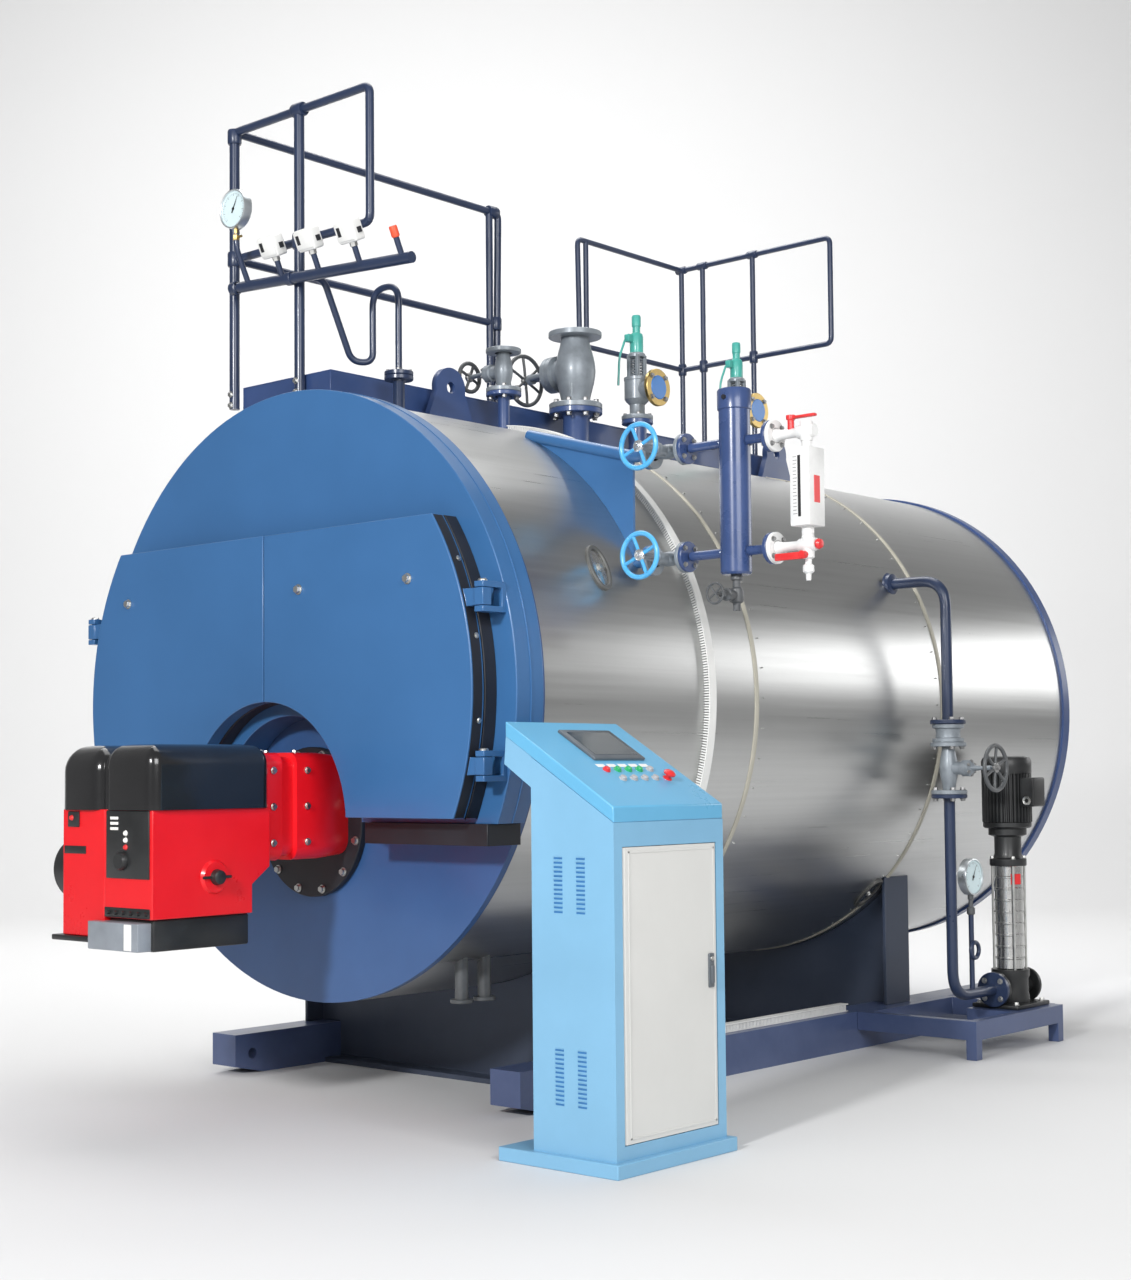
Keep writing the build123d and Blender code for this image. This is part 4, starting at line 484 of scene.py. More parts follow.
front_rail = [
    bar([(LEFT, 0.898, FOOT), (LEFT, 0.922, TOP), (LEFT, FRONT, TOP), (0.198, FRONT, TOP),
         (0.198, FRONT, MIDDLE), (LEFT, FRONT, MIDDLE)], RAIL, RAIL_BEND),
    bar([(LEFT, FRONT, MIDDLE), (LEFT, 0.898, MIDDLE)], RAIL),
    bar([(LEFT, 0.86, FOOT + 0.09), (LEFT, 0.86, TOP)], RAIL),
    sleeve((LEFT, FRONT, TOP - 0.02), ALONG_Z), sleeve((LEFT, FRONT, MIDDLE), ALONG_Z),
    sleeve((FRONT_POST, FRONT, TOP), ALONG_X), sleeve((FRONT_POST, FRONT, MIDDLE), ALONG_Z),
    sleeve((LEFT, 0.90, MIDDLE), ALONG_Z), sleeve((LEFT, 0.88, TOP), ALONG_Y),
]
foot_bolts = []
for x in (LEFT, FRONT_POST):
    front_rail.append(bar([(x, FRONT, FOOT), (x, FRONT, TOP)], POST, sides=20))
    foot_bolts += hexes([(x, FRONT - 0.020, FOOT + z) for z in (0.015, 0.06)], -ALONG_Y, 0.018, 0.010)
piece("front_rail_pipes", front_rail, navy_rail, stands_for=["front_railing"])
rear_rail = [
    bar([(LEFT, 1.526, FOOT), (LEFT, 1.502, TOP), (LEFT, REAR, TOP), (0.317, REAR, TOP),
         (0.317, REAR, MIDDLE), (LEFT, REAR, MIDDLE)], REAR_RAIL, RAIL_BEND),
    bar([(LEFT, REAR, MIDDLE), (LEFT, 1.526, MIDDLE)], REAR_RAIL),
    bar([(LEFT, 1.566, FOOT + 0.09), (LEFT, 1.566, TOP)], REAR_RAIL),
]
for x in REAR_POSTS:
    rear_rail += [bar([(x, REAR, FOOT), (x, REAR, TOP)], REAR_RAIL, sides=20),
                  sleeve((x, REAR, MIDDLE), ALONG_Z, 0.022), sleeve((x, REAR, TOP), ALONG_X, 0.020)]
    foot_bolts += hexes([(x, REAR + 0.0125, FOOT + z) for z in (0.015, 0.06)], ALONG_Y, 0.018, 0.010)
piece("rear_rail_pipes", rear_rail, navy_rail, stands_for=["rear_railing"])
piece("railing_foot_bolts", foot_bolts, zinc)

# Steam valves: grey cast globe valves bolted to navy nozzles on the crown.
# The bonnet and yoke lie flat over the walkway, with a dark wheel on each stem.
cast_grey = finish("valve_grey", (0.25, 0.28, 0.31), rough=0.42, metal=0.25, drift=0.16, cloud=18.0,
                   grain=420.0, relief=0.2, coat=0.1)
wheel_grey = finish("wheel_grey", (0.085, 0.09, 0.095), rough=0.42, drift=0.2, cloud=15.0, coat=0.1)
bolt_steel = finish("dull_bolts", (0.33, 0.33, 0.33), rough=0.42, metal=0.9, drift=0.2, cloud=40.0)
CROWN_X = 0.08


def flange(base, along, radius, thick):
    """Round flange from base along an axis, with small bevelled edges."""
    bevel = min(0.0025, thick / 5)
    return lathe([(0, 0), (radius - bevel, 0), (radius, bevel), (radius, thick - bevel),
                  (radius - bevel, thick), (0, thick)], base, along, 56)


def ring_places(base, along, radius, count):
    """Places evenly round an axis, the first half a step on: cosine and sine of the angle times the
    radius."""
    along, first, second = across(along)
    angle = (np.arange(count) + 0.5)[:, None] * 2 * np.pi / count
    return np.asarray(base, float) + radius * (np.cos(angle) * first + np.sin(angle) * second)


def bolt_ring(base, along, radius, count, across_flats, height):
    """Nuts evenly round an axis and pointing along it."""
    return hexes(ring_places(base, along, radius, count), along, across_flats, height)


def bore_shade_discs(base, along, bore, hole, places, sides=48):
    """Flat near-black discs in a bore and the holes round it: painted shade for their shadowed insides."""
    hole_disc = lathe([(0, 0), (hole, 0)], along=along, sides=16)
    return [lathe([(0, 0), (bore, 0)], base, along, sides), copies(hole_disc, places)]


def valve_shape(inlet, flow, stem, length, disc, thick, bore, reach):
    """Globe valve: a belly that swells and narrows as a raised cosine between two flanges, then bonnet,
    gland, two yoke arms and a threaded stem along the stem axis."""
    inlet = np.asarray(inlet, float)
    h = np.linspace(thick, length - thick, 25)
    swell = 0.5 - 0.5 * np.cos(2 * np.pi * (h - thick) / (length - 2 * thick))
    belly = np.stack([bore * (1.15 + 0.50 * swell ** 0.8), h], axis=-1)
    middle = inlet + flow * length / 2
    cap = 1.45 * bore
    chest = np.array([(0, 0), (0.86, 0), (0.80, 0.30), (1.02, 0.32), (1.02, 0.395), (0.99, 0.40),
                      (1.02, 0.405),
                      (1.02, 0.48), (0.60, 0.52), (0.34, 0.56), (0.30, 0.66), (0, 0.66)]) * (cap, reach)
    gland = np.array([(0, 0.83), (0.30, 0.83), (0.30, 0.91), (0, 0.91)]) * (cap, reach)
    tip = reach + 0.018
    parts = [flange(inlet, flow, disc, thick), flange(inlet + flow * (length - thick), flow, disc, thick),
             lathe(np.concatenate([[(0, thick)], belly, [(0, length - thick)]]), inlet, flow, 56),
             lathe(chest, middle, stem), lathe(gland, middle, stem, 32),
             lathe([(0, 0.6 * reach), (0.0085, 0.6 * reach), (0.0085, tip), (0, tip)], middle, stem, 20)]
    for side in (-np.cross(stem, flow), np.cross(stem, flow)):
        arm = [middle + stem * along * reach + side * out * cap
               for along, out in ((0.50, 0.50), (0.70, 0.46), (0.86, 0.20))]
        parts.append(bar(arm, 0.16 * bore + 0.003, 0.03, 12))
    return parts, middle, cap


def ring_bar(centre, axis, radius, thick, around=72, sides=16):
    """Ring whose section is a circle: one angle runs round the axis, the other round the section."""
    axis, first, second = across(axis)
    u = np.linspace(0, 2 * np.pi, around, endpoint=False)[:, None, None]
    v = np.linspace(0, 2 * np.pi, sides, endpoint=False)[None, :, None]
    out = np.cos(u) * first + np.sin(u) * second
    ring = centre + out * (radius + thick * np.cos(v)) + axis * thick * np.sin(v)
    return grid(np.concatenate([ring, ring[:1]]))


def handwheel(name, centre, axis, radius, rim, spokes, rim_finish, hub_finish, node):
    """Cast handwheel: a ring, tapered spokes dished towards the valve, and a turned hub with its nut."""
    axis, first, second = across(axis)
    centre = np.asarray(centre, float)
    parts = [ring_bar(centre, axis, radius - rim, rim)]
    for angle in np.arange(spokes) * 2 * np.pi / spokes + 0.4:
        way = math.cos(angle) * first + math.sin(angle) * second
        parts.append(bar([centre + way * 0.012 - axis * 0.002, centre + way * radius * 0.5 - axis * 0.003,
                          centre + way * (radius - rim)], rim * 0.72, 0.02, 10))
    piece(name + "_rim", parts, rim_finish, node + "_body", [node])
    hub = [lathe([(0, -0.008), (0.017, -0.008), (0.021, -0.004), (0.021, 0.006), (0.016, 0.009), (0, 0.009)],
                 centre, axis, 32)]
    hub += hexes([centre + axis * 0.009], axis, 0.017, 0.010)
    piece(name + "_hub", hub, hub_finish, node + "_body")


nozzle_parts = []
for name, y, top, length, disc, thick, bore, reach, wheel, spokes, count, pitch, bolt in (
        ("auxiliary_steam", 0.2, 2.84, 0.185, 0.075, 0.018, 0.024, 0.2, 0.07, 4, 4, 0.055, 0.016),
        ("main_steam", 0.665, 2.83, 0.343, 0.1175, 0.024, 0.054, 0.3, 0.12, 6, 8, 0.095, 0.020)):
    inlet = np.array([CROWN_X, y, top])
    foot = inlet - ALONG_Z * thick
    mouth = inlet + ALONG_Z * (length + 0.0002)
    parts, middle, cap = valve_shape(inlet, ALONG_Z, -ALONG_X, length, disc, thick, bore, reach)
    parts.append(lathe([(bore * 1.35, 0), (bore * 1.30, 0.002), (bore, 0.002), (bore, 0)], mouth))
    piece(name + "_valve_body", parts, cast_grey, stands_for=[name + "_valve"])
    # Near-black discs in the open mouth and bolt holes: painted shade.
    hole_places = ring_places(mouth + ALONG_Z * 0.0006, ALONG_Z, pitch, count)
    piece(name + "_valve_bore_shade", bore_shade_discs(mouth + ALONG_Z * 0.0005, ALONG_Z, bore, bolt * 0.55, hole_places),
          dark)
    studs = bolt_ring(middle - ALONG_X * 0.48 * reach, -ALONG_X, cap * 0.84, 6, bolt * 0.75, bolt * 0.6)
    studs += bolt_ring(inlet + ALONG_Z * thick, ALONG_Z, pitch, count, bolt, bolt * 0.8)
    studs += bolt_ring(foot, -ALONG_Z, pitch, count, bolt, bolt * 0.8)
    piece(name + "_valve_bolts", studs, bolt_steel)
    nozzle_parts += [flange(foot, ALONG_Z, disc, thick - 0.0006),
                     lathe([(bore * 1.06, thick - 0.2), (bore * 1.06, -0.016), (bore * 1.25, 0), (0, 0)],
                           foot)]
    handwheel(name + "_wheel", middle - ALONG_X * reach, -ALONG_X, wheel, 0.009, spokes, wheel_grey,
              bolt_steel, name + "_handwheel")
piece("steam_nozzle_pipes", nozzle_parts, navy, stands_for=["steam_nozzles"])

# Safety valves: two cast spring valves with open windows round the spring and teal caps with pull levers.
# The outlet flange has a brass-coloured rim and a blue cover disc.
teal = finish("teal_cap", (0.07, 0.42, 0.36), rough=0.35, drift=0.12, cloud=15.0, coat=0.3)
brass = finish("brass_rim", (0.55, 0.40, 0.16), rough=0.32, metal=1.0, drift=0.2, cloud=20.0)
cover_blue = finish("cover_blue", (0.02, 0.17, 0.50), rough=0.3, drift=0.1, cloud=12.0, coat=0.4)
body_parts, cap_parts, rim_parts, disc_parts, bolt_parts, nozzle_necks = [], [], [], [], [], []
spring_turn = np.linspace(0, 14 * np.pi, 160)
spring = np.stack([0.024 * np.cos(spring_turn), 0.024 * np.sin(spring_turn),
                   0.200 + 0.092 * spring_turn / spring_turn[-1]], axis=-1)
for y in (1.096, 1.87):
    foot = np.array([CROWN_X, y, 2.84])
    outlet = foot + [0, 0, 0.135]
    outlet_face = outlet + ALONG_X * 0.108
    body_parts += [
        lathe([(0, 0), (0.070, 0), (0.072, 0.003), (0.072, 0.018), (0.070, 0.020), (0.040, 0.024),
               (0.035, 0.035),
               (0.035, 0.070), (0.050, 0.084), (0.058, 0.095), (0.058, 0.180), (0.060, 0.182), (0.060, 0.195),
               (0.044, 0.200), (0, 0.200)], foot),
        lathe([(0, 0.290), (0.040, 0.290), (0.040, 0.304), (0.033, 0.310), (0, 0.310)], foot, sides=40),
        bar(foot + spring, 0.0038, 0.0, 8, 2),
        lathe([(0, 0.03), (0.042, 0.03), (0.042, 0.108), (0, 0.108)], outlet, ALONG_X, 40)]
    for pillar in ring_places(foot, ALONG_Z, 0.034, 4):
        body_parts.append(block(pillar + [-0.009, -0.009, 0.195], pillar + [0.009, 0.009, 0.300], 0.003))
    rim_parts.append(flange(outlet_face, ALONG_X, 0.085, 0.019))
    disc_parts.append(lathe([(0, 0.0215), (0.052, 0.0215), (0.055, 0.019), (0, 0.019)], outlet_face, ALONG_X,
                            40))
    bolt_parts += bolt_ring(outlet_face + ALONG_X * 0.019, ALONG_X, 0.068, 4, 0.016, 0.010)
    bolt_parts += bolt_ring(foot + ALONG_Z * 0.020, ALONG_Z, 0.056, 4, 0.016, 0.011)
    lever = foot + [(0, -0.028, 0.382), (-0.022, -0.052, 0.375), (-0.050, -0.064, 0.290),
                    (-0.056, -0.066, 0.160)]
    cap_parts += [
        lathe([(0, 0.304), (0.030, 0.304), (0.031, 0.310), (0.031, 0.385), (0.027, 0.398), (0.018, 0.404),
               (0.018, 0.430), (0.021, 0.434), (0.021, 0.476), (0.018, 0.484), (0, 0.485)], foot, sides=36),
        bar(lever, 0.0055, 0.03, 10), block(foot + [-0.025, -0.060, 0.356], foot + [0.005, -0.022, 0.392],
                                            0.005)]
    nozzle_necks += [flange(foot - ALONG_Z * 0.020, ALONG_Z, 0.072, 0.0194),
                     lathe([(0.042, -0.2), (0.042, -0.034), (0.052, -0.020), (0, -0.020)], foot, sides=40)]
piece("safety_valve_bodies", body_parts, cast_grey, stands_for=["safety_valves"])
piece("safety_valve_caps", cap_parts, teal)
piece("safety_outlet_rims", rim_parts, brass)
piece("safety_outlet_covers", disc_parts, cover_blue)
piece("safety_valve_bolts", bolt_parts, bolt_steel)
piece("safety_valve_nozzles", nozzle_necks, navy)

# Pressure header: a sloping navy pipe clamped to the front railing, with leaning stubs.
# It carries three white pressure switches, a gauge and one blind stub with a red cap.
red_cap = finish("red_cap", (0.80, 0.09, 0.035), rough=0.4, drift=0.1, cloud=15.0)
HEADER_START, HEADER_END, HEADER_Y, HEADER_Z, HEADER_FALL = -0.53, 0.475, -0.7226, 3.225, 0.06
STUB, STUB_REACH, SWITCHES, BLIND_STUB, GAUGE_STUB = 0.0115, 0.095, (-0.258, -0.04, 0.195), 0.426, -0.47
LEAN_COS, LEAN_SIN = math.cos(math.radians(25)), math.sin(math.radians(25))
TILT = np.array([[1, 0, 0], [0, LEAN_COS, -LEAN_SIN], [0, LEAN_SIN, LEAN_COS]])


def header_point(x, reach=0.0):
    """Point on the sloping header's axis, which falls evenly along X, or out along a leaning stub."""
    fall = HEADER_FALL * (x - HEADER_START) / (HEADER_END - HEADER_START)
    return np.array([x, HEADER_Y, HEADER_Z - fall]) + TILT[:, 2] * reach


def leaning(part, origin):
    """Tilt a small part about X so that its Z lies along the leaning stub, and set it on the stub."""
    points, quads = part
    return points @ TILT.T + origin, quads


gauge_bend = header_point(GAUGE_STUB, 0.16)
header_parts = [bar([header_point(HEADER_START), header_point(HEADER_END)], 0.022, sides=24),
                bar([header_point(GAUGE_STUB), gauge_bend, gauge_bend + [0, 0, 0.055]], STUB, 0.03)]
header_parts += [bar([header_point(x), header_point(x, STUB_REACH)], STUB) for x in (*SWITCHES, BLIND_STUB)]
header_parts += [lathe([(0.0235, -0.016), (0.027, -0.014), (0.027, 0.014), (0.0235, 0.016)], header_point(x),
                       ALONG_X, 32) for x in (LEFT + 0.06, FRONT_POST)]
piece("header_pipe", header_parts, navy_rail, stands_for=["pressure_header"])
switch_parts, window_parts, collar_parts = [], [], []
for x in SWITCHES:
    seat = header_point(x, STUB_REACH)
    switch_parts += [leaning(block((-0.0475, -0.030, 0.0), (0.0475, 0.030, 0.085), 0.009, 3), seat),
                     leaning(block((-0.0445, -0.034, 0.010), (0.0445, -0.028, 0.078), 0.003), seat)]
    window_parts += [leaning(block((-0.034, -0.0355, 0.030), (-0.016, -0.0330, 0.066), 0.001, 1), seat),
                     leaning(block((0.052, -0.004, 0.030), (0.0475, 0.012, 0.048), 0.001, 1), seat)]
    collar_parts.append(leaning(lathe([(0, -0.016), (0.016, -0.016), (0.016, 0), (0, 0)], sides=6), seat))
piece("switch_boxes", switch_parts, white_plastic, stands_for=["pressure_switches"])
piece("switch_windows", window_parts, dark)
piece("switch_collars", collar_parts, zinc)
blind_cap = lathe([(0, 0), (0.0125, 0), (0.016, 0.004), (0.016, 0.040), (0.014, 0.044), (0, 0.044)], sides=24)
piece("blind_stub_cap", [leaning(blind_cap, header_point(BLIND_STUB, 0.082))], red_cap)

# Dial gauges: a chromed case, a white face with a black scale and pointer, and a brass cock below.
# One stands at the end of the header, the other on the feed pipe.
case_steel = finish("gauge_case", (0.66, 0.70, 0.72), rough=0.34, metal=0.85, drift=0.06, cloud=12.0)
dial_white = finish("dial_face", (0.66, 0.80, 0.83), rough=0.45, drift=0.03, cloud=20.0)
ink = finish("dial_ink", (0.012, 0.012, 0.014), rough=0.5, drift=0.2, cloud=30.0)
DIAL, DIAL_BACK, DIAL_RISE, POINTER_ANGLE = 0.08, 0.0225, 0.0803, math.radians(62)


def dial(name, stem_top, facing, node):
    """Gauge over a stem: a case whose lip rolls inwards round the face, rows of ticks over three quarters
    of a turn, a pointer and a pressed boss."""
    back = stem_top + ALONG_Z * DIAL_RISE - facing * DIAL_BACK
    right = np.cross(ALONG_Z, facing)
    case = np.array([(0, 0), (0.9, 0), (1, 0.006), (1, 0.040), (0.985, 0.044), (0.94, 0.045), (0.91, 0.043),
                     (0.90, 0.036)]) * (DIAL, 1)
    piece(name + "_case", [lathe(case, back, facing, 72)], case_steel, stands_for=[node])
    piece(name + "_face", [lathe([(0, 0.037), (DIAL * 0.905, 0.037)], back, facing, 72)], dial_white)
    marks = []
    for number, angle in enumerate(np.radians(np.linspace(225, -45, 41))):
        inner, half = (0.73, 0.006) if number % 5 else (0.66, 0.011)
        way = (math.cos(angle) * right + math.sin(angle) * ALONG_Z) * DIAL
        wide = np.cross(facing, way) * half
        start, end = back + facing * 0.0374 + way * inner, back + facing * 0.0374 + way * 0.80
        marks.append((np.array([start - wide, end - wide, end + wide, start + wide]),
                      np.array([[0, 1, 2, 3]])))
    point = math.cos(POINTER_ANGLE) * right + math.sin(POINTER_ANGLE) * ALONG_Z
    wide = np.cross(facing, point)
    hub = back + facing * 0.0392
    tail, tip = hub - point * DIAL * 0.22, hub + point * DIAL * 0.70
    pointer = np.array([tail - wide * 0.004, tail + wide * 0.004, tip + wide * 0.0007, tip - wide * 0.0007])
    marks.append((pointer, np.array([[0, 3, 2, 1]])))
    marks.append(lathe([(0, 0.0035), (DIAL * 0.07, 0.003), (DIAL * 0.08, 0), (0, 0)], hub - facing * 0.001,
                       facing, 24))
    piece(name + "_scale", marks, ink)


gauge_tip = gauge_bend + [0, 0, 0.075]
dial("boiler_gauge", gauge_tip, -ALONG_Y, "pressure_gauge")
gauge_cock = [lathe([(0, -0.050), (0.011, -0.050), (0.014, -0.044), (0.014, -0.026), (0.009, -0.022),
                     (0.009, 0.004), (0, 0.004)], gauge_tip, sides=6),
              bar([gauge_tip + [0, 0, -0.034], gauge_tip + [0.034, 0, -0.034]], 0.005)]
piece("boiler_gauge_cock", gauge_cock, brass)

# Siphon: navy pipe from a flanged nozzle on the crown, over in a bend and down, then up to the header.
# The trap of water in its low bend keeps steam off the gauge.
SIPHON_Y, SIPHON_TOP, SIPHON_LOW, SIPHON_SEAT = -0.413, 3.19, 2.895, 2.80
siphon_end = header_point(-0.12)
siphon_parts = [
    bar([(CROWN_X, SIPHON_Y, 2.83), (CROWN_X, SIPHON_Y, SIPHON_TOP), (-0.07, SIPHON_Y, SIPHON_TOP),
         (-0.07, SIPHON_Y, SIPHON_LOW), (-0.12, SIPHON_Y - 0.07, SIPHON_LOW), siphon_end + [0, 0.092, 0],
         siphon_end + [0, 0.018, 0]], 0.0135, 0.075, 20, 12),
    flange((CROWN_X, SIPHON_Y, SIPHON_SEAT), ALONG_Z, 0.058, 0.0175),
    flange((CROWN_X, SIPHON_Y, SIPHON_SEAT + 0.0185), ALONG_Z, 0.058, 0.0175),
    lathe([(0.023, -0.2), (0.023, -0.012), (0.030, 0), (0, 0)], (CROWN_X, SIPHON_Y, SIPHON_SEAT), sides=32),
]
piece("siphon_loop", siphon_parts, navy_rail, stands_for=["siphon_pipe"])
piece("siphon_bolts", bolt_ring((CROWN_X, SIPHON_Y, SIPHON_SEAT + 0.036), ALONG_Z, 0.044, 4, 0.014, 0.009),
      bolt_steel)

# Water column bracket: a blue gusset cut to the shell, stiffened by the sloping steam pipe on its edge.
# Two pipes leave it for the column valves.
COLUMN_Y, HIGH, LOW = -0.105, 2.42, 2.02
COLUMN_DISC, COLUMN_THICK, COLUMN_PITCH, BRACKET_PIPE = 0.057, 0.0155, 0.0425, 0.024
arc = np.linspace(math.acos(0.43), math.asin(0.43), 40)
gusset_edge = np.stack([1.1505 * np.cos(arc), AXIS[2] + 1.1505 * np.sin(arc)], axis=-1)
gusset = np.concatenate([[(1.03, HIGH), (0.50, 2.565)], gusset_edge, [(1.03, 2.04)]])


def slab(outline, start, end, axis=1):
    """Flat plate: an outline in the two other directions carried along one axis from start to end, as one
    band of quads and two closing faces."""
    near = np.insert(np.asarray(outline, float), axis, start, axis=1)
    far = np.insert(np.asarray(outline, float), axis, end, axis=1)
    ring = np.arange(len(near))
    ends = np.stack([ring[::-1], ring + len(near)])
    return [grid(np.stack([near, far])), (np.concatenate([near, far]), ends)]


def column_flange(x, height):
    """One flange of the water column's pipes, facing along X."""
    return flange((x, COLUMN_Y, height), ALONG_X, COLUMN_DISC, COLUMN_THICK)


def column_bolts(x, height, along):
    """Four nuts on a flange of the water column."""
    return bolt_ring((x, COLUMN_Y, height), along, COLUMN_PITCH, 4, 0.013, 0.009)


bracket_parts = slab(gusset, COLUMN_Y - 0.006, COLUMN_Y + 0.006) + [
    bar([(0.50, COLUMN_Y, 2.565), (1.03, COLUMN_Y, HIGH), (1.10, COLUMN_Y, HIGH)], BRACKET_PIPE, 0.05, 24),
    bar([(1.0, COLUMN_Y, LOW), (1.10, COLUMN_Y, LOW)], BRACKET_PIPE, 0.0, 24),
    column_flange(1.099, HIGH), column_flange(1.099, LOW)]
piece("column_gusset", bracket_parts, blue, stands_for=["column_bracket"])

# Column valves: two small grey cast globe valves bolted between the bracket's pipes and the column.
# Their sky-blue wheels have bright hubs and face the front.
sky = finish("sky_wheel", (0.085, 0.42, 0.78), rough=0.3, drift=0.08, cloud=20.0, coat=0.4)
bright = finish("bright_metal", (0.70, 0.71, 0.72), rough=0.28, metal=0.9, drift=0.1, cloud=25.0)
STEM_REACH = 0.175
valve_parts, valve_bolts = [], []
for height, name in ((LOW, "lower"), (HIGH, "upper")):
    parts, middle, cap = valve_shape((1.115, COLUMN_Y, height), ALONG_X, -ALONG_Y, 0.16, COLUMN_DISC, 0.016,
                                     0.017, STEM_REACH)
    valve_parts += parts
    valve_bolts += column_bolts(1.099, height, -ALONG_X) + column_bolts(1.291, height, ALONG_X)
    valve_bolts += bolt_ring(middle - ALONG_Y * 0.48 * STEM_REACH, -ALONG_Y, 0.020, 4, 0.009, 0.006)
    handwheel(f"{name}_column_wheel", middle - ALONG_Y * STEM_REACH, -ALONG_Y, 0.09, 0.0095, 4, sky, bright,
              f"{name}_column_handwheel")
piece("column_valve_bodies", valve_parts, cast_grey, stands_for=["column_valves"])
piece("column_valve_bolts", valve_bolts, bolt_steel)

# Water column: an upright navy pot with a capped head and four flanged stubs.
# Its drain valve hangs below with a small wheel of its own.
pot_navy = finish("pot_navy", (0.040, 0.072, 0.19), rough=0.28, coat=0.3, cloud=6.0)
POT_X = 1.5
DRAIN_Z, DRAIN_WHEEL_Y, DRAIN_WHEEL = 1.863, COLUMN_Y - 0.130, 0.036
pot_parts = [lathe([(0, 1.938), (0.050, 1.938), (0.057, 1.946), (0.057, 2.533), (0.0595, 2.5345),
                    (0.062, 2.537),
                    (0.062, 2.604), (0.058, 2.610), (0, 2.610)], (POT_X, COLUMN_Y, 0), sides=64)]
for height in (LOW, HIGH):
    pot_parts += [bar([(1.30, COLUMN_Y, height), (1.66, COLUMN_Y, height)], 0.0175, 0.0, 24),
                  column_flange(1.2755, height), column_flange(1.651, height)]
    pot_parts += [lathe([(0.024, -0.012), (0.0185, 0), (0.024, 0.012)], (x, COLUMN_Y, height), ALONG_X, 24)
                  for x in (POT_X - 0.045, POT_X + 0.045)]
piece("water_pot", pot_parts, pot_navy, stands_for=["water_column"])
piece("pot_plugs", [lathe([(0, 0.008), (0.009, 0.008), (0.010, 0), (0, 0)], (POT_X, COLUMN_Y - 0.0605, 2.575),
                          -ALONG_Y, 6)], dark)
drain_parts = [lathe([(0, 0.13), (0.020, 0.13), (0.022, 0.125), (0.022, 0.112), (0.015, 0.108),
                      (0.015, 0.085),
                      (0.024, 0.078), (0.026, 0.055), (0.024, 0.032), (0.014, 0.026), (0.014, 0), (0, 0)],
                     (POT_X, COLUMN_Y, DRAIN_Z - 0.055), sides=24),
               bar([(POT_X, COLUMN_Y, DRAIN_Z), (POT_X, DRAIN_WHEEL_Y, DRAIN_Z)], 0.006),
               lathe([(0, 0), (0.019, 0), (0.017, 0.040), (0.023, 0.044), (0.023, 0.064), (0.012, 0.070),
                      (0.012, 0.094), (0, 0.094)], (POT_X, COLUMN_Y, DRAIN_Z), -ALONG_Y, 24),
               ring_bar((POT_X, DRAIN_WHEEL_Y, DRAIN_Z), ALONG_Y, DRAIN_WHEEL, 0.0045, 40, 10)]
drain_parts += [bar([(POT_X - DRAIN_WHEEL * c, DRAIN_WHEEL_Y, DRAIN_Z - DRAIN_WHEEL * s),
                     (POT_X + DRAIN_WHEEL * c, DRAIN_WHEEL_Y, DRAIN_Z + DRAIN_WHEEL * s)], 0.0032)
                for c, s in ((0.8, 0.6), (-0.6, 0.8))]
piece("column_drain_valve", drain_parts, wheel_grey, stands_for=["column_drain"])

# Level gauge: white flanges and cocks with red levers, joined by the long white box with the glass.
# A dark slot shows the water, a scale runs beside it, and a red plate is set in the side.
gauge_white = finish("gauge_white", (0.78, 0.78, 0.77), rough=0.38, drift=0.06, cloud=14.0, coat=0.2)
lever_red = finish("lever_red", (0.72, 0.028, 0.03), rough=0.38, drift=0.08, cloud=14.0, coat=0.2)
GAUGE_X, COCK_X, BOX_HALF, BOX_LOW, BOX_HIGH = 1.81, 1.683, 0.040, 2.084, 2.360
BOX_FRONT = COLUMN_Y - 0.050
gauge_axis = np.array([GAUGE_X, COLUMN_Y, 0])
level_parts = [
    block((GAUGE_X - BOX_HALF, BOX_FRONT, BOX_LOW), (GAUGE_X + BOX_HALF, COLUMN_Y + 0.050, BOX_HIGH), 0.004),
    lathe([(0, 2.045), (0.020, 2.045), (0.022, 2.049), (0.022, 2.089), (0.018, 2.095), (0, 2.095)],
          gauge_axis, sides=28),
    lathe([(0, 2.355), (0.018, 2.355), (0.018, 2.395), (0, 2.395)], gauge_axis, sides=28),
    lathe([(0, 2.020), (0.016, 2.020), (0.018, 2.007), (0.022, 2.003), (0.022, 1.975), (0.012, 1.969),
           (0.012, 1.953), (0.020, 1.947), (0.020, 1.925), (0.010, 1.917), (0.009, 1.895), (0, 1.895)],
          gauge_axis, sides=24)]
level_bolts = []
for height in (LOW, HIGH):
    level_parts += [
        column_flange(1.6675, height),
        lathe([(0, 0), (0.026, 0), (0.020, 0.012), (0.017, 0.03), (0.017, 0.085), (0.024, 0.095),
               (0.026, 0.128), (0.022, 0.162), (0, 0.165)], (COCK_X, COLUMN_Y, height), ALONG_X, 32),
        lathe([(0, -0.034), (0.021, -0.034), (0.023, -0.03), (0.023, 0.03), (0.021, 0.034), (0, 0.034)],
              gauge_axis + [0, 0, height], sides=32)]
    level_bolts += column_bolts(COCK_X, height, ALONG_X) + column_bolts(1.651, height, -ALONG_X)
piece("level_gauge_body", level_parts, gauge_white, stands_for=["level_gauge"])
piece("level_gauge_bolts", level_bolts, bolt_steel)
slot_marks = [block((GAUGE_X - 0.006, BOX_FRONT - 0.0012, 2.115),
                    (GAUGE_X + 0.006, BOX_FRONT + 0.0005, 2.330), 0.0006, 1)]
for number, z in enumerate(np.arange(2.125, 2.325, 0.0125)):
    mark_end = GAUGE_X - (0.012 if number % 5 else 0.009)
    slot_marks.append(block((GAUGE_X - 0.026, BOX_FRONT - 0.0006, z),
                            (mark_end, BOX_FRONT + 0.0005, z + 0.0016), 0.0003, 1))
piece("level_gauge_slot", slot_marks, ink)
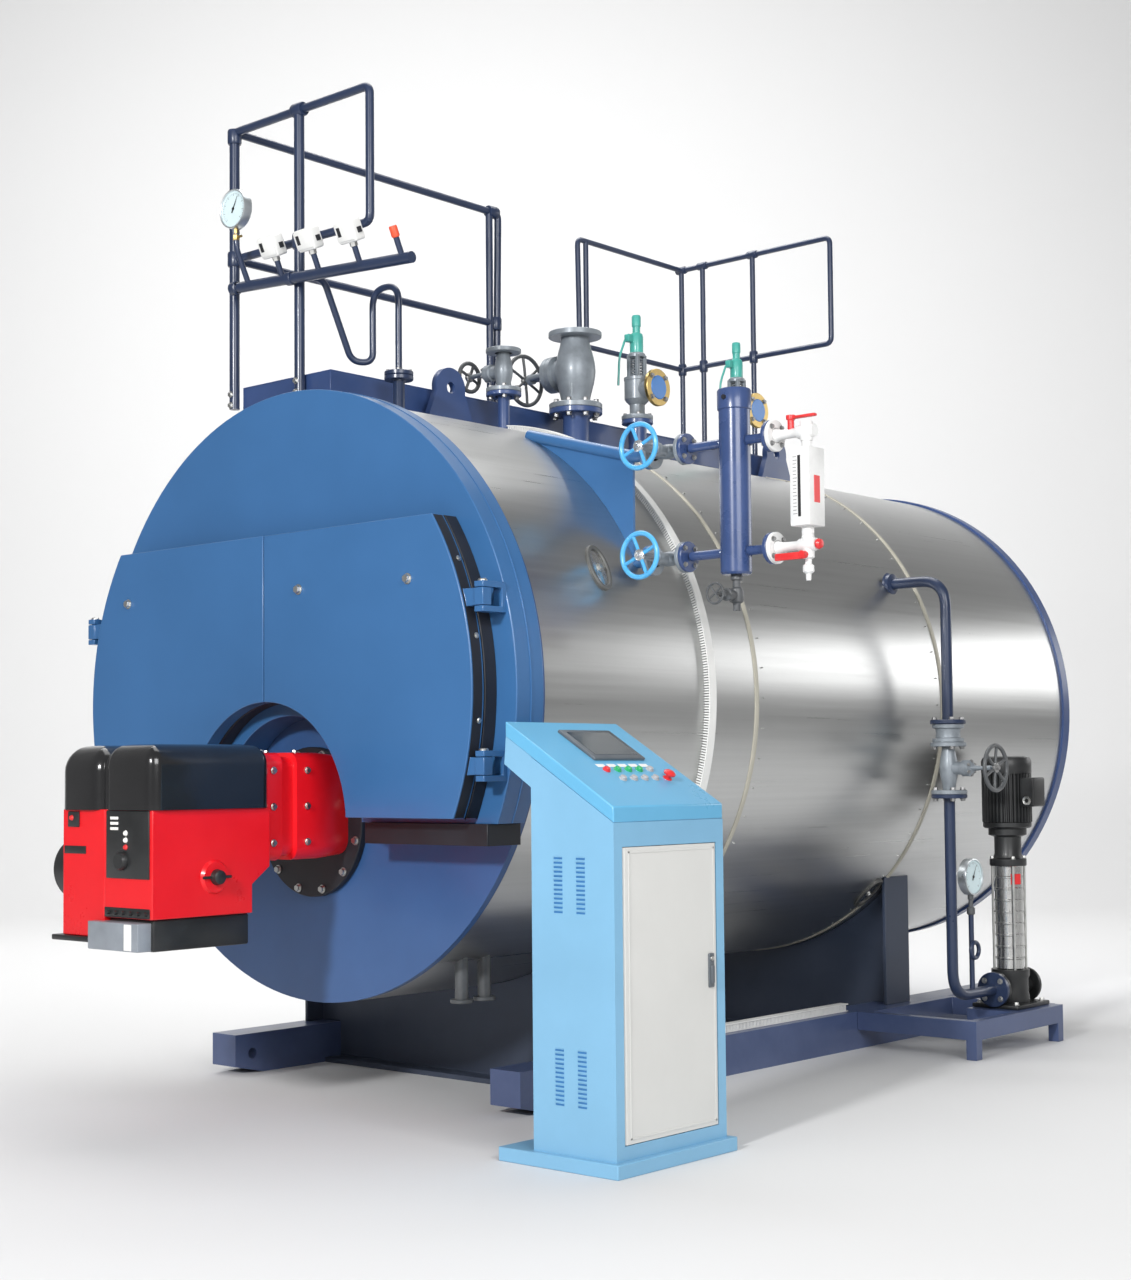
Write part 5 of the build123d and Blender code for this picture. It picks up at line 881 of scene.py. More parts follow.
piece("level_gauge_plate", [block((GAUGE_X + BOX_HALF - 0.0005, COLUMN_Y - 0.018, 2.165),
                                  (GAUGE_X + BOX_HALF + 0.0012, COLUMN_Y + 0.018, 2.260), 0.001, 1)],
      lever_red)
upper_cock, lower_cock = gauge_axis + [0, 0, HIGH], gauge_axis + [0, 0, LOW]
lever_parts = [
    block(upper_cock + [-0.080, -0.011, 0.050], upper_cock + [0.040, 0.011, 0.060], 0.004),
    lathe([(0, 0), (0.012, 0), (0.012, 0.034), (0.017, 0.038), (0.017, 0.052), (0, 0.055)],
          upper_cock + [-0.065, 0, 0.012], sides=24),
    block(lower_cock + [-0.115, -0.042, -0.052], lower_cock + [0.012, -0.032, -0.026], 0.004),
    lathe([(0, 0.018), (0.013, 0.018), (0.013, 0.044), (0, 0.046)], lower_cock - [0, 0, 0.036], -ALONG_Y, 24),
    lathe([(0, 0.165), (0.017, 0.165), (0.019, 0.172), (0.015, 0.182), (0, 0.184)], (COCK_X, COLUMN_Y, LOW),
          ALONG_X, 24)]
piece("level_gauge_levers", lever_parts, lever_red)

# Feed line: navy pipe from the pump, through the stop valve and the check valve, into the shell's side.
# The valves are grey castings, with flanges bolted together in pairs.
FEED_X, FEED_Y, FEED_PIPE, FEED_BEND, FEED_DISC = 1.3, 1.713, 0.024, 0.12, 0.077
FEED_ENTRY, STOP_SEAT, STOP_LENGTH, STOP_REACH, PORT_HEIGHT = 2.061, 1.125, 0.225, 0.227, 0.25
FEED_GAUGE_Y, LOOP_RADIUS = 1.88, 0.034
feed_parts = [bar([(0.98, FEED_Y, FEED_ENTRY), (FEED_X, FEED_Y, FEED_ENTRY), (FEED_X, FEED_Y, 1.44)],
                  FEED_PIPE, FEED_BEND, 28, 12),
              flange((FEED_X, FEED_Y, 1.4305), ALONG_Z, FEED_DISC, 0.0175),
              lathe([(0.052, 0), (0.046, 0.008), (0.046, 0.024), (0.026, 0.03)], (1.012, FEED_Y, FEED_ENTRY),
                    ALONG_X, 32)]
piece("feed_bend", feed_parts, navy_rail, stands_for=["feed_nozzle"])
check_parts = [lathe([(0, 0.0005), (0.066, 0.0005), (0.068, 0.003), (0.068, 0.017), (0.054, 0.021),
                      (0.052, 0.040),
                      (0.054, 0.059), (0.068, 0.063), (0.068, 0.077), (0.066, 0.0795), (0, 0.0795)],
                     (FEED_X, FEED_Y, STOP_SEAT + STOP_LENGTH))]
piece("feed_check_body", check_parts, cast_grey, stands_for=["feed_check_valve"])
parts, middle, cap = valve_shape((FEED_X, FEED_Y, STOP_SEAT), ALONG_Z, ALONG_X, STOP_LENGTH, FEED_DISC, 0.018,
                                 0.024, STOP_REACH)
piece("feed_stop_body", parts, cast_grey, stands_for=["feed_stop_valve"])
feed_bolts = bolt_ring(middle + ALONG_X * 0.109, ALONG_X, 0.029, 6, 0.012, 0.008)
for height, way in ((1.448, ALONG_Z), (1.332, -ALONG_Z), (1.143, ALONG_Z), (1.107, -ALONG_Z)):
    feed_bolts += bolt_ring((FEED_X, FEED_Y, height), way, 0.060, 4, 0.018, 0.012)
piece("feed_bolts", feed_bolts, bolt_steel)
handwheel("feed_wheel", middle + ALONG_X * STOP_REACH, ALONG_X, 0.105, 0.009, 6, wheel_grey, bolt_steel,
          "feed_stop_handwheel")
riser_parts = [bar([(FEED_X, FEED_Y, 1.115), (FEED_X, FEED_Y, PORT_HEIGHT), (FEED_X, 2.066, PORT_HEIGHT)],
                   FEED_PIPE, FEED_BEND, 28, 12),
               flange((FEED_X, FEED_Y, 1.1075), ALONG_Z, FEED_DISC, 0.017),
               flange((FEED_X, 2.0575, PORT_HEIGHT), ALONG_Y, FEED_DISC, 0.017),
               bar([(FEED_X, FEED_GAUGE_Y, PORT_HEIGHT), (FEED_X, FEED_GAUGE_Y, 0.62)], STUB)]
piece("feed_riser_pipe", riser_parts, navy_rail, stands_for=["feed_riser"])
dial("feed_line_gauge", np.array([FEED_X, FEED_GAUGE_Y, 0.68]), ALONG_X, "feed_gauge")
feed_cock = [lathe([(0, 0), (0.013, 0), (0.018, 0.006), (0.018, 0.030), (0.010, 0.036), (0.010, 0.066),
                    (0.013, 0.07), (0.013, 0.09), (0, 0.09)], (FEED_X, FEED_GAUGE_Y, 0.593), sides=24)]
piece("feed_gauge_cock", feed_cock, wheel_grey)
loop_turn = np.linspace(0, 2 * np.pi, 33)
loop_path = np.stack([np.full_like(loop_turn, FEED_X + 0.016), FEED_GAUGE_Y + LOOP_RADIUS * np.sin(loop_turn),
                      0.44 - LOOP_RADIUS * np.cos(loop_turn)], axis=-1)
piece("feed_gauge_loop", [bar(loop_path, 0.0095, 0.0, 12, 2)], navy_rail)

# Feed pump: an upright multistage pump in stainless steel, clamped between foot and head by tie rods.
# A black finned motor stands on it, and both sit on the navy outrigger beside the skid.
pump_black = finish("pump_black", (0.016, 0.017, 0.018), rough=0.42, drift=0.25, cloud=10.0, coat=0.1)
pump_steel = finish("pump_stainless", (0.62, 0.62, 0.61), rough=0.26, metal=1.0, drift=0.08, cloud=8.0,
                    stretch=(12, 12, 0.6))
PUMP_Y, PUMP_BASE, STAGE, STAGE_PITCH, ROD_REACH = 2.225, 0.184, 0.062, 0.052, 0.073 * 0.707
FIN_COUNT, FIN_ROOT, FIN_TIP = 36, 0.099, 0.111
dress(navy, "pump_outrigger", edge=0.003)
pump_axis = np.array([FEED_X, PUMP_Y, 0])
pump_port = pump_axis + [0, 0, PORT_HEIGHT]
stack = [(0, 0.330)]
for level in np.arange(0.335, 0.79, STAGE_PITCH):
    stack += [(STAGE, level), (STAGE, level + 0.040), (0.065, level + 0.043), (0.065, level + 0.049)]
stack += [(STAGE, 0.800), (0, 0.800)]
piece("pump_stages", [lathe(stack, pump_axis, sides=64)], pump_steel)
cast_parts = [block(pump_axis + [-0.115, -0.150, 0.1645], pump_axis + [0.115, 0.150, PUMP_BASE], 0.006),
              lathe([(0, 0.180), (0.082, 0.180), (0.085, 0.190), (0.080, 0.230), (0.080, 0.290),
                     (0.085, 0.300), (0.085, 0.330), (0, 0.332)], pump_axis, sides=56),
              lathe([(0, 0.795), (0.080, 0.795), (0.082, 0.800), (0.082, 0.826), (0.066, 0.832),
                     (0.060, 0.850),
                     (0.060, 0.925), (0.085, 0.935), (0.085, 0.964), (0, 0.964)], pump_axis, sides=56)]
for way in (-ALONG_Y, ALONG_Y):
    cast_parts += [lathe([(0, 0.05), (0.040, 0.05), (0.042, 0.08), (0.040, 0.135), (0, 0.135)], pump_port,
                         way, 40),
                   flange(pump_port + way * 0.133, way, FEED_DISC, 0.0165)]
piece("pump_castings", cast_parts, pump_black, stands_for=["feed_pump"])
rod_feet = pump_axis + np.array([(x, y, 0) for x in (-ROD_REACH, ROD_REACH) for y in (-ROD_REACH, ROD_REACH)])
rod_parts = [bar([foot + ALONG_Z * 0.32, foot + ALONG_Z * 0.84], 0.006, 0.0, 10) for foot in rod_feet]
rod_parts += hexes(rod_feet + ALONG_Z * 0.826, ALONG_Z, 0.016, 0.012)
rod_parts += hexes([pump_axis + [x, y, PUMP_BASE] for x in (-0.09, 0.09) for y in (-0.12, 0.12)], ALONG_Z,
                   0.019, 0.012)
rod_parts += bolt_ring(pump_port - ALONG_Y * 0.132, ALONG_Y, 0.055, 4, 0.017, 0.011)
rod_parts += bolt_ring(pump_port - ALONG_Y * 0.1675, -ALONG_Y, 0.055, 4, 0.017, 0.011)
piece("pump_rods", rod_parts, zinc)
suction = pump_port + ALONG_Y * 0.15
# Near-black discs in the open suction port and bolt holes: painted shade.
piece("pump_suction_shade", bore_shade_discs(suction, ALONG_Y, 0.024, 0.009, ring_places(suction, ALONG_Y, 0.055, 4),
                                      32),
      dark)
label = [(0.063, 0.712), (0.0668, 0.713), (0.0668, 0.759), (0.063, 0.760)]
piece("pump_label", [swept(label, pump_axis, ALONG_X, ALONG_Y, -52, -8, 16)], lever_red)
gland = [(0.010, 0), (0.010, 0.007), (0.018, 0.009), (0.020, 0.006), (0.020, 0)]
piece("motor_gland", [lathe(gland, pump_axis + [0.13, -0.0545, 1.09], -ALONG_Y, 28)], zinc)
fin_angle = np.linspace(0, 2 * np.pi, 4 * FIN_COUNT, endpoint=False)
fin_radius = np.tile([FIN_ROOT, FIN_ROOT, FIN_TIP, FIN_TIP], FIN_COUNT)
fin_ring = np.stack([fin_radius * np.cos(fin_angle), fin_radius * np.sin(fin_angle), 0 * fin_angle], axis=-1)
fin_scale, fin_height = np.array([(0.94, 0.990), (1.0, 0.994), (1.0, 1.214),
                                  (0.94, 1.220)]).T[:, :, None, None]
motor_parts = [capped(pump_axis + fin_scale * fin_ring + fin_height * ALONG_Z),
               lathe([(0, 0.9655), (0.100, 0.9655), (0.108, 0.972), (0.108, 0.990), (0.098, 0.996),
                      (0, 0.996)],
                     pump_axis, sides=56),
               lathe([(0, 1.210), (0.108, 1.210), (0.112, 1.216), (0.112, 1.268), (0.104, 1.284),
                      (0.080, 1.290), (0, 1.290)], pump_axis, sides=56),
               block(pump_axis + [0.09, -0.055, 1.063], pump_axis + [0.163, 0.055, 1.193], 0.008, 3)]
piece("pump_motor_shell", motor_parts, pump_black, stands_for=["pump_motor"])

# Burner: red fan housing with a two-part black hood, a black electrical panel on the front and a black tray.
# A red flanged neck carries it on the front plate.
red = finish("burner_red", (0.76, 0.005, 0.012), rough=0.32, drift=0.06, cloud=3.0, coat=0.2)
black_gloss = finish("hood_black", (0.012, 0.012, 0.013), rough=0.18, drift=0.2, cloud=4.0, coat=0.6,
                     grain=700.0, relief=0.12)
lamp_white = finish("lamp_white", (0.85, 0.84, 0.80), rough=0.3, drift=0.04, cloud=30.0)
grey_box = finish("terminal_grey", (0.30, 0.33, 0.37), rough=0.4, metal=0.3, drift=0.12, cloud=9.0)
BURNER_FRONT, BURNER_BACK, BURNER_HALF, SEAM = -1.742, -1.23, 0.258, -0.012
BURNER_BASE, SUMP, SPLIT, HOOD_TOP = 0.75, 0.68, 1.12, 1.343
CUT = BURNER_BACK - 0.08
NECK_END, NECK_HEIGHT, FLANGE_BACK, FLANGE_THICK = -0.783, 1.12, -0.8135, 0.030


def lidded(low, high, corner, crown):
    """Upright box with round corners in plan: stacked outlines, drawn in along a quarter circle at the
    top."""
    low, high = np.asarray(low, float), np.asarray(high, float)
    middle, half = (low + high)[:2] / 2, (high - low)[:2] / 2
    turn, east, north = corners(8)
    arc = np.linspace(0, np.pi / 2, 9)
    inset = np.append(0, crown * (1 - np.cos(arc)))[:, None]
    level = np.append(low[2], high[2] - crown + crown * np.sin(arc))[:, None]
    radius = np.maximum(corner - inset, 0.001)
    x = middle[0] + east * (half[0] - inset - radius) + radius * np.cos(turn)
    y = middle[1] + north * (half[1] - inset - radius) + radius * np.sin(turn)
    return capped(np.stack([x, y, np.broadcast_to(level, x.shape)], axis=-1))


def housing(floor):
    """Side outline of the fan housing down to a floor, with the lower rear corner cut away."""
    return [(BURNER_FRONT, floor), (CUT, floor), (CUT, 0.85), (BURNER_BACK, 0.91), (BURNER_BACK, SPLIT),
            (BURNER_FRONT, SPLIT)]


def front_block(x0, x1, z0, z1, proud, sunk, edge, steps=2):
    """Block on the burner's front: it stands proud of the front by one amount and is sunk by another."""
    return block((x0, BURNER_FRONT - proud, z0), (x1, BURNER_FRONT + sunk, z1), edge, steps)


seam_fill = [(y, max(z, BURNER_BASE + 0.006)) for y, z in housing(BURNER_BASE)]
housing_parts = (slab(housing(SUMP), -BURNER_HALF, SEAM - 0.001, 0)
                 + slab(housing(BURNER_BASE), SEAM + 0.001, BURNER_HALF, 0)
                 + slab(seam_fill, SEAM - 0.004, SEAM + 0.004, 0))
red_body = piece("burner_housing", housing_parts, red, stands_for=["burner_body"])
soft_edge = red_body.modifiers.new("folded_edge", "BEVEL")
soft_edge.width = 0.010
soft_edge.segments = 3
soft_edge.limit_method = "ANGLE"
hood_front, hood_foot = BURNER_FRONT - 0.014, SPLIT - 0.002
hood_parts = [lidded((-0.272, hood_front, hood_foot), (-0.020, BURNER_BACK, HOOD_TOP), 0.062, 0.092),
              lidded((-0.004, hood_front, hood_foot), (0.272, BURNER_BACK, HOOD_TOP), 0.045, 0.072),
              lidded((-0.045, BURNER_FRONT + 0.012, hood_foot), (0.02, BURNER_BACK - 0.002, HOOD_TOP - 0.022),
                     0.02, 0.06)]
piece("burner_hood_halves", hood_parts, black_gloss, stands_for=["burner_hood"])
tray_parts = [block((SEAM + 0.001, BURNER_FRONT + 0.02, 0.64), (0.238, CUT, BURNER_BASE - 0.001), 0.008),
              front_block(-0.31, -0.08, SUMP - 0.020, SUMP - 0.001, 0.012, 0.10, 0.004),
              front_block(SEAM + 0.004, 0.246, BURNER_BASE + 0.002, BURNER_BASE + 0.036, 0.003, 0.05, 0.003)]
piece("burner_tray_box", tray_parts, pump_black, stands_for=["burner_tray"])
panel_knob = lathe([(0, 0.022), (0.026, 0.022), (0.032, 0.012), (0.032, 0), (0, 0)],
                   (0.10, BURNER_FRONT - 0.004, 0.945), -ALONG_Y, 32)
strip_screw = lathe([(0, 0.010), (0.006, 0.010), (0.008, 0), (0, 0)], along=-ALONG_Y, sides=6)
strip_places = [(x, BURNER_FRONT - 0.003, BURNER_BASE + 0.019) for x in np.arange(0.02, 0.24, 0.042)]
panel_parts = [front_block(0.004, 0.244, 0.885, SPLIT - 0.003, 0.006, 0.01, 0.004),
               front_block(-0.222, -0.158, 1.058, 1.112, 0.007, 0.004, 0.004),
               front_block(-0.246, -0.120, 0.965, 0.992, 0.003, 0.004, 0.001),
               panel_knob, copies(strip_screw, strip_places)]
piece("burner_panel", panel_parts, pump_black)
lamp = lathe([(0, 0.008), (0.007, 0.0065), (0.010, 0), (0, 0)], along=-ALONG_Y, sides=20)
lamp_front = BURNER_FRONT - 0.006
lamp_parts = [copies(lamp, [(0.118, lamp_front, 1.040), (0.118, lamp_front, 1.016)])]
lamp_parts += [front_block(0.030, 0.075, z, z + 0.010, 0.0075, -0.005, 0.001, 1)
               for z in (1.050, 1.068, 1.086)]
piece("burner_lamps", lamp_parts, lamp_white)
piece("burner_red_lamps", [copies(lamp, [(0.118, lamp_front, 0.992), (-0.196, BURNER_FRONT - 0.007, 1.090)])],
      lever_red)
piece("burner_terminal_box", [front_block(-0.060, 0.225, 0.642, 0.738, 0.035, 0.075, 0.004)], grey_box)
piece("burner_terminal_strip", [front_block(0.150, 0.190, 0.646, 0.734, 0.0375, -0.030, 0.001, 1)],
      white_plastic)
piece("burner_flange", [lathe([(0, 0), (0.282, 0), (0.285, 0.004), (0.285, 0.026), (0.281, FLANGE_THICK),
                               (0, FLANGE_THICK)], (0, FLANGE_BACK, BURNER_AXIS), ALONG_Y, 80)], dark)
neck_y, neck_wide, neck_tall, neck_round = np.array([
    (BURNER_BACK - 0.01, 0.225, 0.190, 0.045), (-1.150, 0.230, 0.195, 0.045), (-1.145, 0.215, 0.180, 0.045),
    (-1.085, 0.215, 0.180, 0.045), (-1.080, 0.230, 0.195, 0.045), (-0.950, 0.230, 0.195, 0.05),
    (NECK_END - 0.02, 0.21, 0.185, 0.06)]).T[:, :, None]
turn, east, north = corners(8)
neck_x = east * (neck_wide - neck_round) + neck_round * np.cos(turn)
neck_z = NECK_HEIGHT + north * (neck_tall - neck_round) + neck_round * np.sin(turn)
neck_duct = capped(np.stack([neck_x, np.broadcast_to(neck_y, neck_x.shape), neck_z], axis=-1))
piece("burner_neck_duct", [neck_duct], red, stands_for=["burner_neck"])
neck_bolts = hexes([(x, y, 1.3155) for x in (-0.16, 0.0, 0.16) for y in (-1.19, -1.03)], ALONG_Z, 0.018,
                   0.010)
neck_bolts += hexes([(0.2305, y, z) for y in (-1.19, -1.03) for z in (0.99, 1.12, 1.25)], ALONG_X, 0.018,
                    0.010)
neck_bolts += bolt_ring((0, FLANGE_BACK, BURNER_AXIS), -ALONG_Y, 0.262, 12, 0.022, 0.014)
piece("burner_neck_bolts", neck_bolts, zinc)
fan_eye = np.array([-BURNER_HALF, -1.612, 0.905])
inlet_parts = [lathe([(0, 0), (0.100, 0), (0.115, 0.012), (0.115, 0.080), (0.104, 0.095), (0.060, 0.094),
                      (0.050, 0.088), (0, 0.088)], fan_eye, -ALONG_X, 56)]
inlet_parts += [block(fan_eye + [-0.0965, -0.09, z - 0.003], fan_eye + [-0.092, 0.09, z + 0.003], 0.001, 1)
                for z in (-0.03, 0.0, 0.03)]
piece("burner_inlet", inlet_parts, pump_black, stands_for=["burner_air_inlet"])
side_boss = np.array([BURNER_HALF - 0.0005, -1.48, 0.883])
piece("burner_side_boss", [lathe([(0, 0), (0.060, 0), (0.052, 0.012), (0, 0.014)], side_boss, ALONG_X, 40)],
      red)
knob_parts = [lathe([(0, 0.012), (0.026, 0.012), (0.028, 0.016), (0.024, 0.036), (0.018, 0.040), (0, 0.040)],
                    side_boss, ALONG_X, 28),
              bar([side_boss + [0.0175, -0.06, 0], side_boss + [0.0175, 0.06, 0]], 0.005)]
piece("burner_side_knob", knob_parts, pump_black)

# Handholes and drain stubs: oval steel covers on the shell, each drawn up by a bolt, and short flanged pipes.
# The rims are welded into the shell, and the two stubs hang under its front.
ring_grey = finish("handhole_grey", (0.14, 0.14, 0.135), rough=0.5, metal=0.5, drift=0.25, cloud=14.0)
RIM_ROWS = ((0.093, 0.056, -0.014), (0.093, 0.056, 0.006), (0.089, 0.052, 0.009), (0.079, 0.042, 0.009),
            (0.075, 0.038, 0.006), (0.075, 0.038, -0.014), (0.093, 0.056, -0.014))
LID_ROWS = ((0.076, 0.039, -0.010), (0.074, 0.037, 0.001), (0.060, 0.026, 0.004), (0.020, 0.010, 0.005))
STUB_X, STUB_LENGTH = 0.61, 0.150


def ovals(rows, spot, up, out):
    """Stack of ovals on the shell: each row gives half the height, half the width and how far out it lies."""
    tall, wide, proud = np.asarray(rows).T[:, :, None, None]
    turn = np.linspace(0, 2 * np.pi, 48, endpoint=False)[None, :, None]
    return spot + tall * np.cos(turn) * up + wide * np.sin(turn) * ALONG_Y + proud * out


rim_parts, lid_parts, nut_parts, stub_parts = [], [], [], []
for y, angle in ((-0.345, math.radians(23.6)), (1.875, math.radians(-47.5))):
    out = np.array([math.cos(angle), 0, math.sin(angle)])
    up = np.array([-out[2], 0, out[0]])
    spot = AXIS + ALONG_Y * y + out * JACKET
    rim_parts.append(grid(ovals(RIM_ROWS, spot, up, out)))
    lid_parts.append(capped(ovals(LID_ROWS, spot, up, out)))
    nut_parts += hexes([spot + out * 0.005], out, 0.020, 0.010)
piece("handhole_rims", rim_parts, ring_grey, stands_for=["handholes"])
piece("handhole_lids", lid_parts, pump_steel)
piece("handhole_nuts", nut_parts, zinc)
stub_top = AXIS[2] - math.sqrt(JACKET ** 2 - STUB_X ** 2)
for y in (-0.62, -0.50):
    stub_parts += [lathe([(0, -STUB_LENGTH), (0.025, -STUB_LENGTH), (0.025, 0.02), (0, 0.02)],
                         (STUB_X, y, stub_top), sides=28),
                   flange((STUB_X, y, stub_top - STUB_LENGTH), ALONG_Z, 0.042, 0.014)]
piece("drain_pipes", stub_parts, wheel_grey, stands_for=["drain_stubs"])

# Console: a folded sheet-steel desk in pale blue on a plinth, with a light grey door.
# The sloping top has a touch screen and rows of buttons, and louvres air the cabinet.
console_blue = finish("console_blue", (0.20, 0.43, 0.63), rough=0.36, drift=0.05, cloud=2.5, coat=0.2)
# The desk takes a slightly darker, more saturated copy of the console blue: painted shade on the sloping top.
console_desk_shaded = finish("console_top_blue", (0.125, 0.41, 0.65), rough=0.34, drift=0.05, cloud=2.5, coat=0.25)
door_grey = finish("console_door_grey", (0.63, 0.63, 0.61), rough=0.42, drift=0.04, cloud=2.0)
bezel = finish("screen_bezel", (0.10, 0.115, 0.13), rough=0.35, drift=0.1, cloud=12.0)
glass = finish("screen_glass", (0.035, 0.05, 0.06), rough=0.08, drift=0.2, cloud=6.0, coat=1.0, relief=0.0)
green = finish("button_green", (0.03, 0.42, 0.14), rough=0.3, drift=0.08, cloud=30.0, coat=0.3)
button_grey = finish("button_grey", (0.42, 0.42, 0.43), rough=0.35, drift=0.1, cloud=30.0)
# Darker blue for the louvre slots: painted shade inside the openings.
louvre_shade_blue = finish("louvre_shade_blue", (0.03, 0.17, 0.42), rough=0.5, drift=0.1, cloud=20.0)
DESK_DEPTH, DESK_HIGH, DESK_LOW, DESK_X, DESK_Y = 0.45, 1.400, 1.127, 1.34, -0.82
SLOPE = math.atan2(DESK_HIGH - DESK_LOW, DESK_DEPTH)
DOWN = np.array([math.cos(SLOPE), 0, -math.sin(SLOPE)])
OUT = np.array([math.sin(SLOPE), 0, math.cos(SLOPE)])
DESK_CORNER = np.array([DESK_X, DESK_Y, DESK_HIGH]) - 0.02 * DOWN
UPPER_ROW, LOWER_ROW = 0.330, 0.385
LOUVRE_FACE, LOUVRE_PITCH, LOUVRE_COUNT = -1.1600, 0.0140, 13
DOOR_FRONT, DOOR_LOW, DOOR_HIGH, DOOR_NEAR, DOOR_FAR, DOOR_LIP = 1.7898, 0.105, 0.988, -1.092, -0.652, 0.007
dress(console_blue, "console_cabinet", "console_plinth", edge=0.003)
# The sloping desk wears the shaded copy of the console blue: painted shade.
dress(console_desk_shaded, "console_desk", edge=0.004)
dress(door_grey, "console_door", edge=0.002)


def on_desk(part):
    """Lay a small part on the sloping desk: its X runs across, its Y down the slope, its Z out of the
    desk."""
    points, quads = part
    return DESK_CORNER + points[:, :1] * ALONG_Y + points[:, 1:2] * DOWN + points[:, 2:] * OUT, quads


def buttons(part, row, *across_desk):
    """The same button at several places across the desk, in one row."""
    return on_desk(copies(part, [(x, row, 0) for x in across_desk]))


def lip(y0, y1, z0, z1):
    """Raised strip on the console door's face."""
    return block((DOOR_FRONT, y0, z0), (DOOR_FRONT + 0.0017, y1, z1), 0.0008, 1)


back_fold = [(1.342, 1.352), (1.452, 1.286), (1.452, 1.185), (1.334, 1.262)]
piece("console_back_fold", slab(back_fold, -1.159, -0.601), console_blue)
piece("console_screen_frame", [on_desk(block((-0.150, 0.085, -0.002), (0.110, 0.270, 0.010), 0.004))], bezel)
piece("console_screen", [on_desk(block((-0.128, 0.103, 0.006), (0.088, 0.248, 0.0108), 0.001, 1))], glass)
button = lathe([(0, 0.012), (0.009, 0.0115), (0.011, 0.009), (0.011, 0.004), (0.014, 0.003), (0.014, 0),
                (0, 0)],
               sides=24)
mushroom = lathe([(0, 0.030), (0.014, 0.028), (0.021, 0.022), (0.020, 0.016), (0.010, 0.013), (0.010, 0.004),
                  (0.016, 0.003), (0.016, 0), (0, 0)], sides=28)
lamp_plate = block((-0.020, -0.009, 0), (0.020, 0.009, 0.0012), 0.0005, 1)
piece("console_red_buttons", [buttons(button, UPPER_ROW, -0.150), buttons(mushroom, LOWER_ROW, 0.105)],
      lever_red)
piece("console_green_buttons", [buttons(button, UPPER_ROW, -0.095, -0.040, 0.015)], green)
piece("console_grey_buttons", [buttons(button, UPPER_ROW, 0.070),
                               buttons(button, LOWER_ROW, -0.125, -0.070, -0.015, 0.040)],
      button_grey)
piece("console_button_plates", [buttons(lamp_plate, UPPER_ROW - 0.028, -0.150, -0.095, -0.040, 0.015, 0.070)],
      white_plastic)
louvres = [(x, LOUVRE_FACE, z) for x in (1.562, 1.655) for low in (0.199, 0.796)
           for z in low + np.arange(LOUVRE_COUNT) * LOUVRE_PITCH]
louvre_slot = block((-0.018, -0.0012, -0.0030), (0.018, 0.0004, 0.0030), 0.0008, 1)
louvre_hood = block((-0.019, -0.0028, 0.0032), (0.019, 0.0, 0.0062), 0.0012, 1)
# The slots under the hoods are painted a darker blue: painted shade.
piece("console_louvres", [copies(louvre_slot, louvres)], louvre_shade_blue)
piece("console_louvre_hoods", [copies(louvre_hood, louvres)], console_blue)
latch_parts = [block((1.7895, -0.690, 0.535), (1.7965, -0.662, 0.645), 0.003),
               block((1.795, -0.684, 0.548), (1.803, -0.668, 0.606), 0.003)]
piece("console_latch", latch_parts, bezel, "console_door_body")
piece("console_lock", [lathe([(0, 0.004), (0.007, 0.004), (0.008, 0), (0, 0)], (1.7962, -0.676, 0.628),
                             ALONG_X, 20)],
      zinc, "console_door_body")
door_lip = [lip(DOOR_NEAR, DOOR_FAR, z, z + DOOR_LIP) for z in (DOOR_LOW, DOOR_HIGH - DOOR_LIP)]
door_lip += [lip(y, y + DOOR_LIP, DOOR_LOW, DOOR_HIGH) for y in (DOOR_NEAR, DOOR_FAR - DOOR_LIP)]
piece("console_door_fold", door_lip, door_grey, "console_door_body")
console_feet = [block((x, y, 0.0), (x + 0.05, y + 0.05, 0.004), 0.001, 1)
                for x in (1.34, 1.74) for y in (-1.17, -0.64)]
piece("console_feet", console_feet, dark)

# Studio: a pale painted floor that bends up into a backdrop, and soft lights round the boiler.
# The camera stands where the photograph's did, with its lens, shift and tilt.
FLOOR_NEAR, SWEEP_START, SWEEP_RADIUS, SWEEP_TOP, FLOOR_HALF = -14.0, 9.0, 4.0, 16.0, 26.0
VIEW_YAW, VIEW_PITCH, VIEW_ROLL, VIEW_PLACE = 0.723, 0.053, -0.009, (5.582, -5.716, 1.229)
PICTURE_WIDTH, PICTURE_HEIGHT, LENS_PIXELS, CENTRE_X, CENTRE_Y = 1131, 1280, 1928.4, 556.2, 671.5
AWAY = np.array([-math.sin(VIEW_YAW), math.cos(VIEW_YAW), 0.0])
ASIDE = np.array([math.cos(VIEW_YAW), math.sin(VIEW_YAW), 0.0])
floor_paint = bpy.data.materials.new("studio_floor")
floor_paint.use_nodes = True
floor_shader = floor_paint.node_tree.nodes["Principled BSDF"]
floor_shader.inputs["Base Color"].default_value = (0.72, 0.72, 0.72, 1)
floor_shader.inputs["Roughness"].default_value = 0.7
bend = np.linspace(0, np.pi / 2, 25)
wall = SWEEP_START + SWEEP_RADIUS
sweep_away = np.concatenate([[FLOOR_NEAR], SWEEP_START + SWEEP_RADIUS * np.sin(bend), [wall]])[:, None, None]
sweep_up = np.concatenate([[0.0], SWEEP_RADIUS * (1 - np.cos(bend)), [SWEEP_TOP]])[:, None, None]
sweep_side = np.array([-FLOOR_HALF, FLOOR_HALF])[None, :, None]
sweep_points = (sweep_away * AWAY + sweep_up * ALONG_Z + sweep_side * ASIDE).reshape(-1, 3)
row_start = np.arange(0, len(sweep_points) - 2, 2)[:, None]
floor_mesh = bpy.data.meshes.new("studio_floor")
floor_mesh.from_pydata(sweep_points.tolist(), [], (row_start + [0, 1, 3, 2]).tolist())
floor_mesh.shade_smooth()
floor_mesh.materials.append(floor_paint)
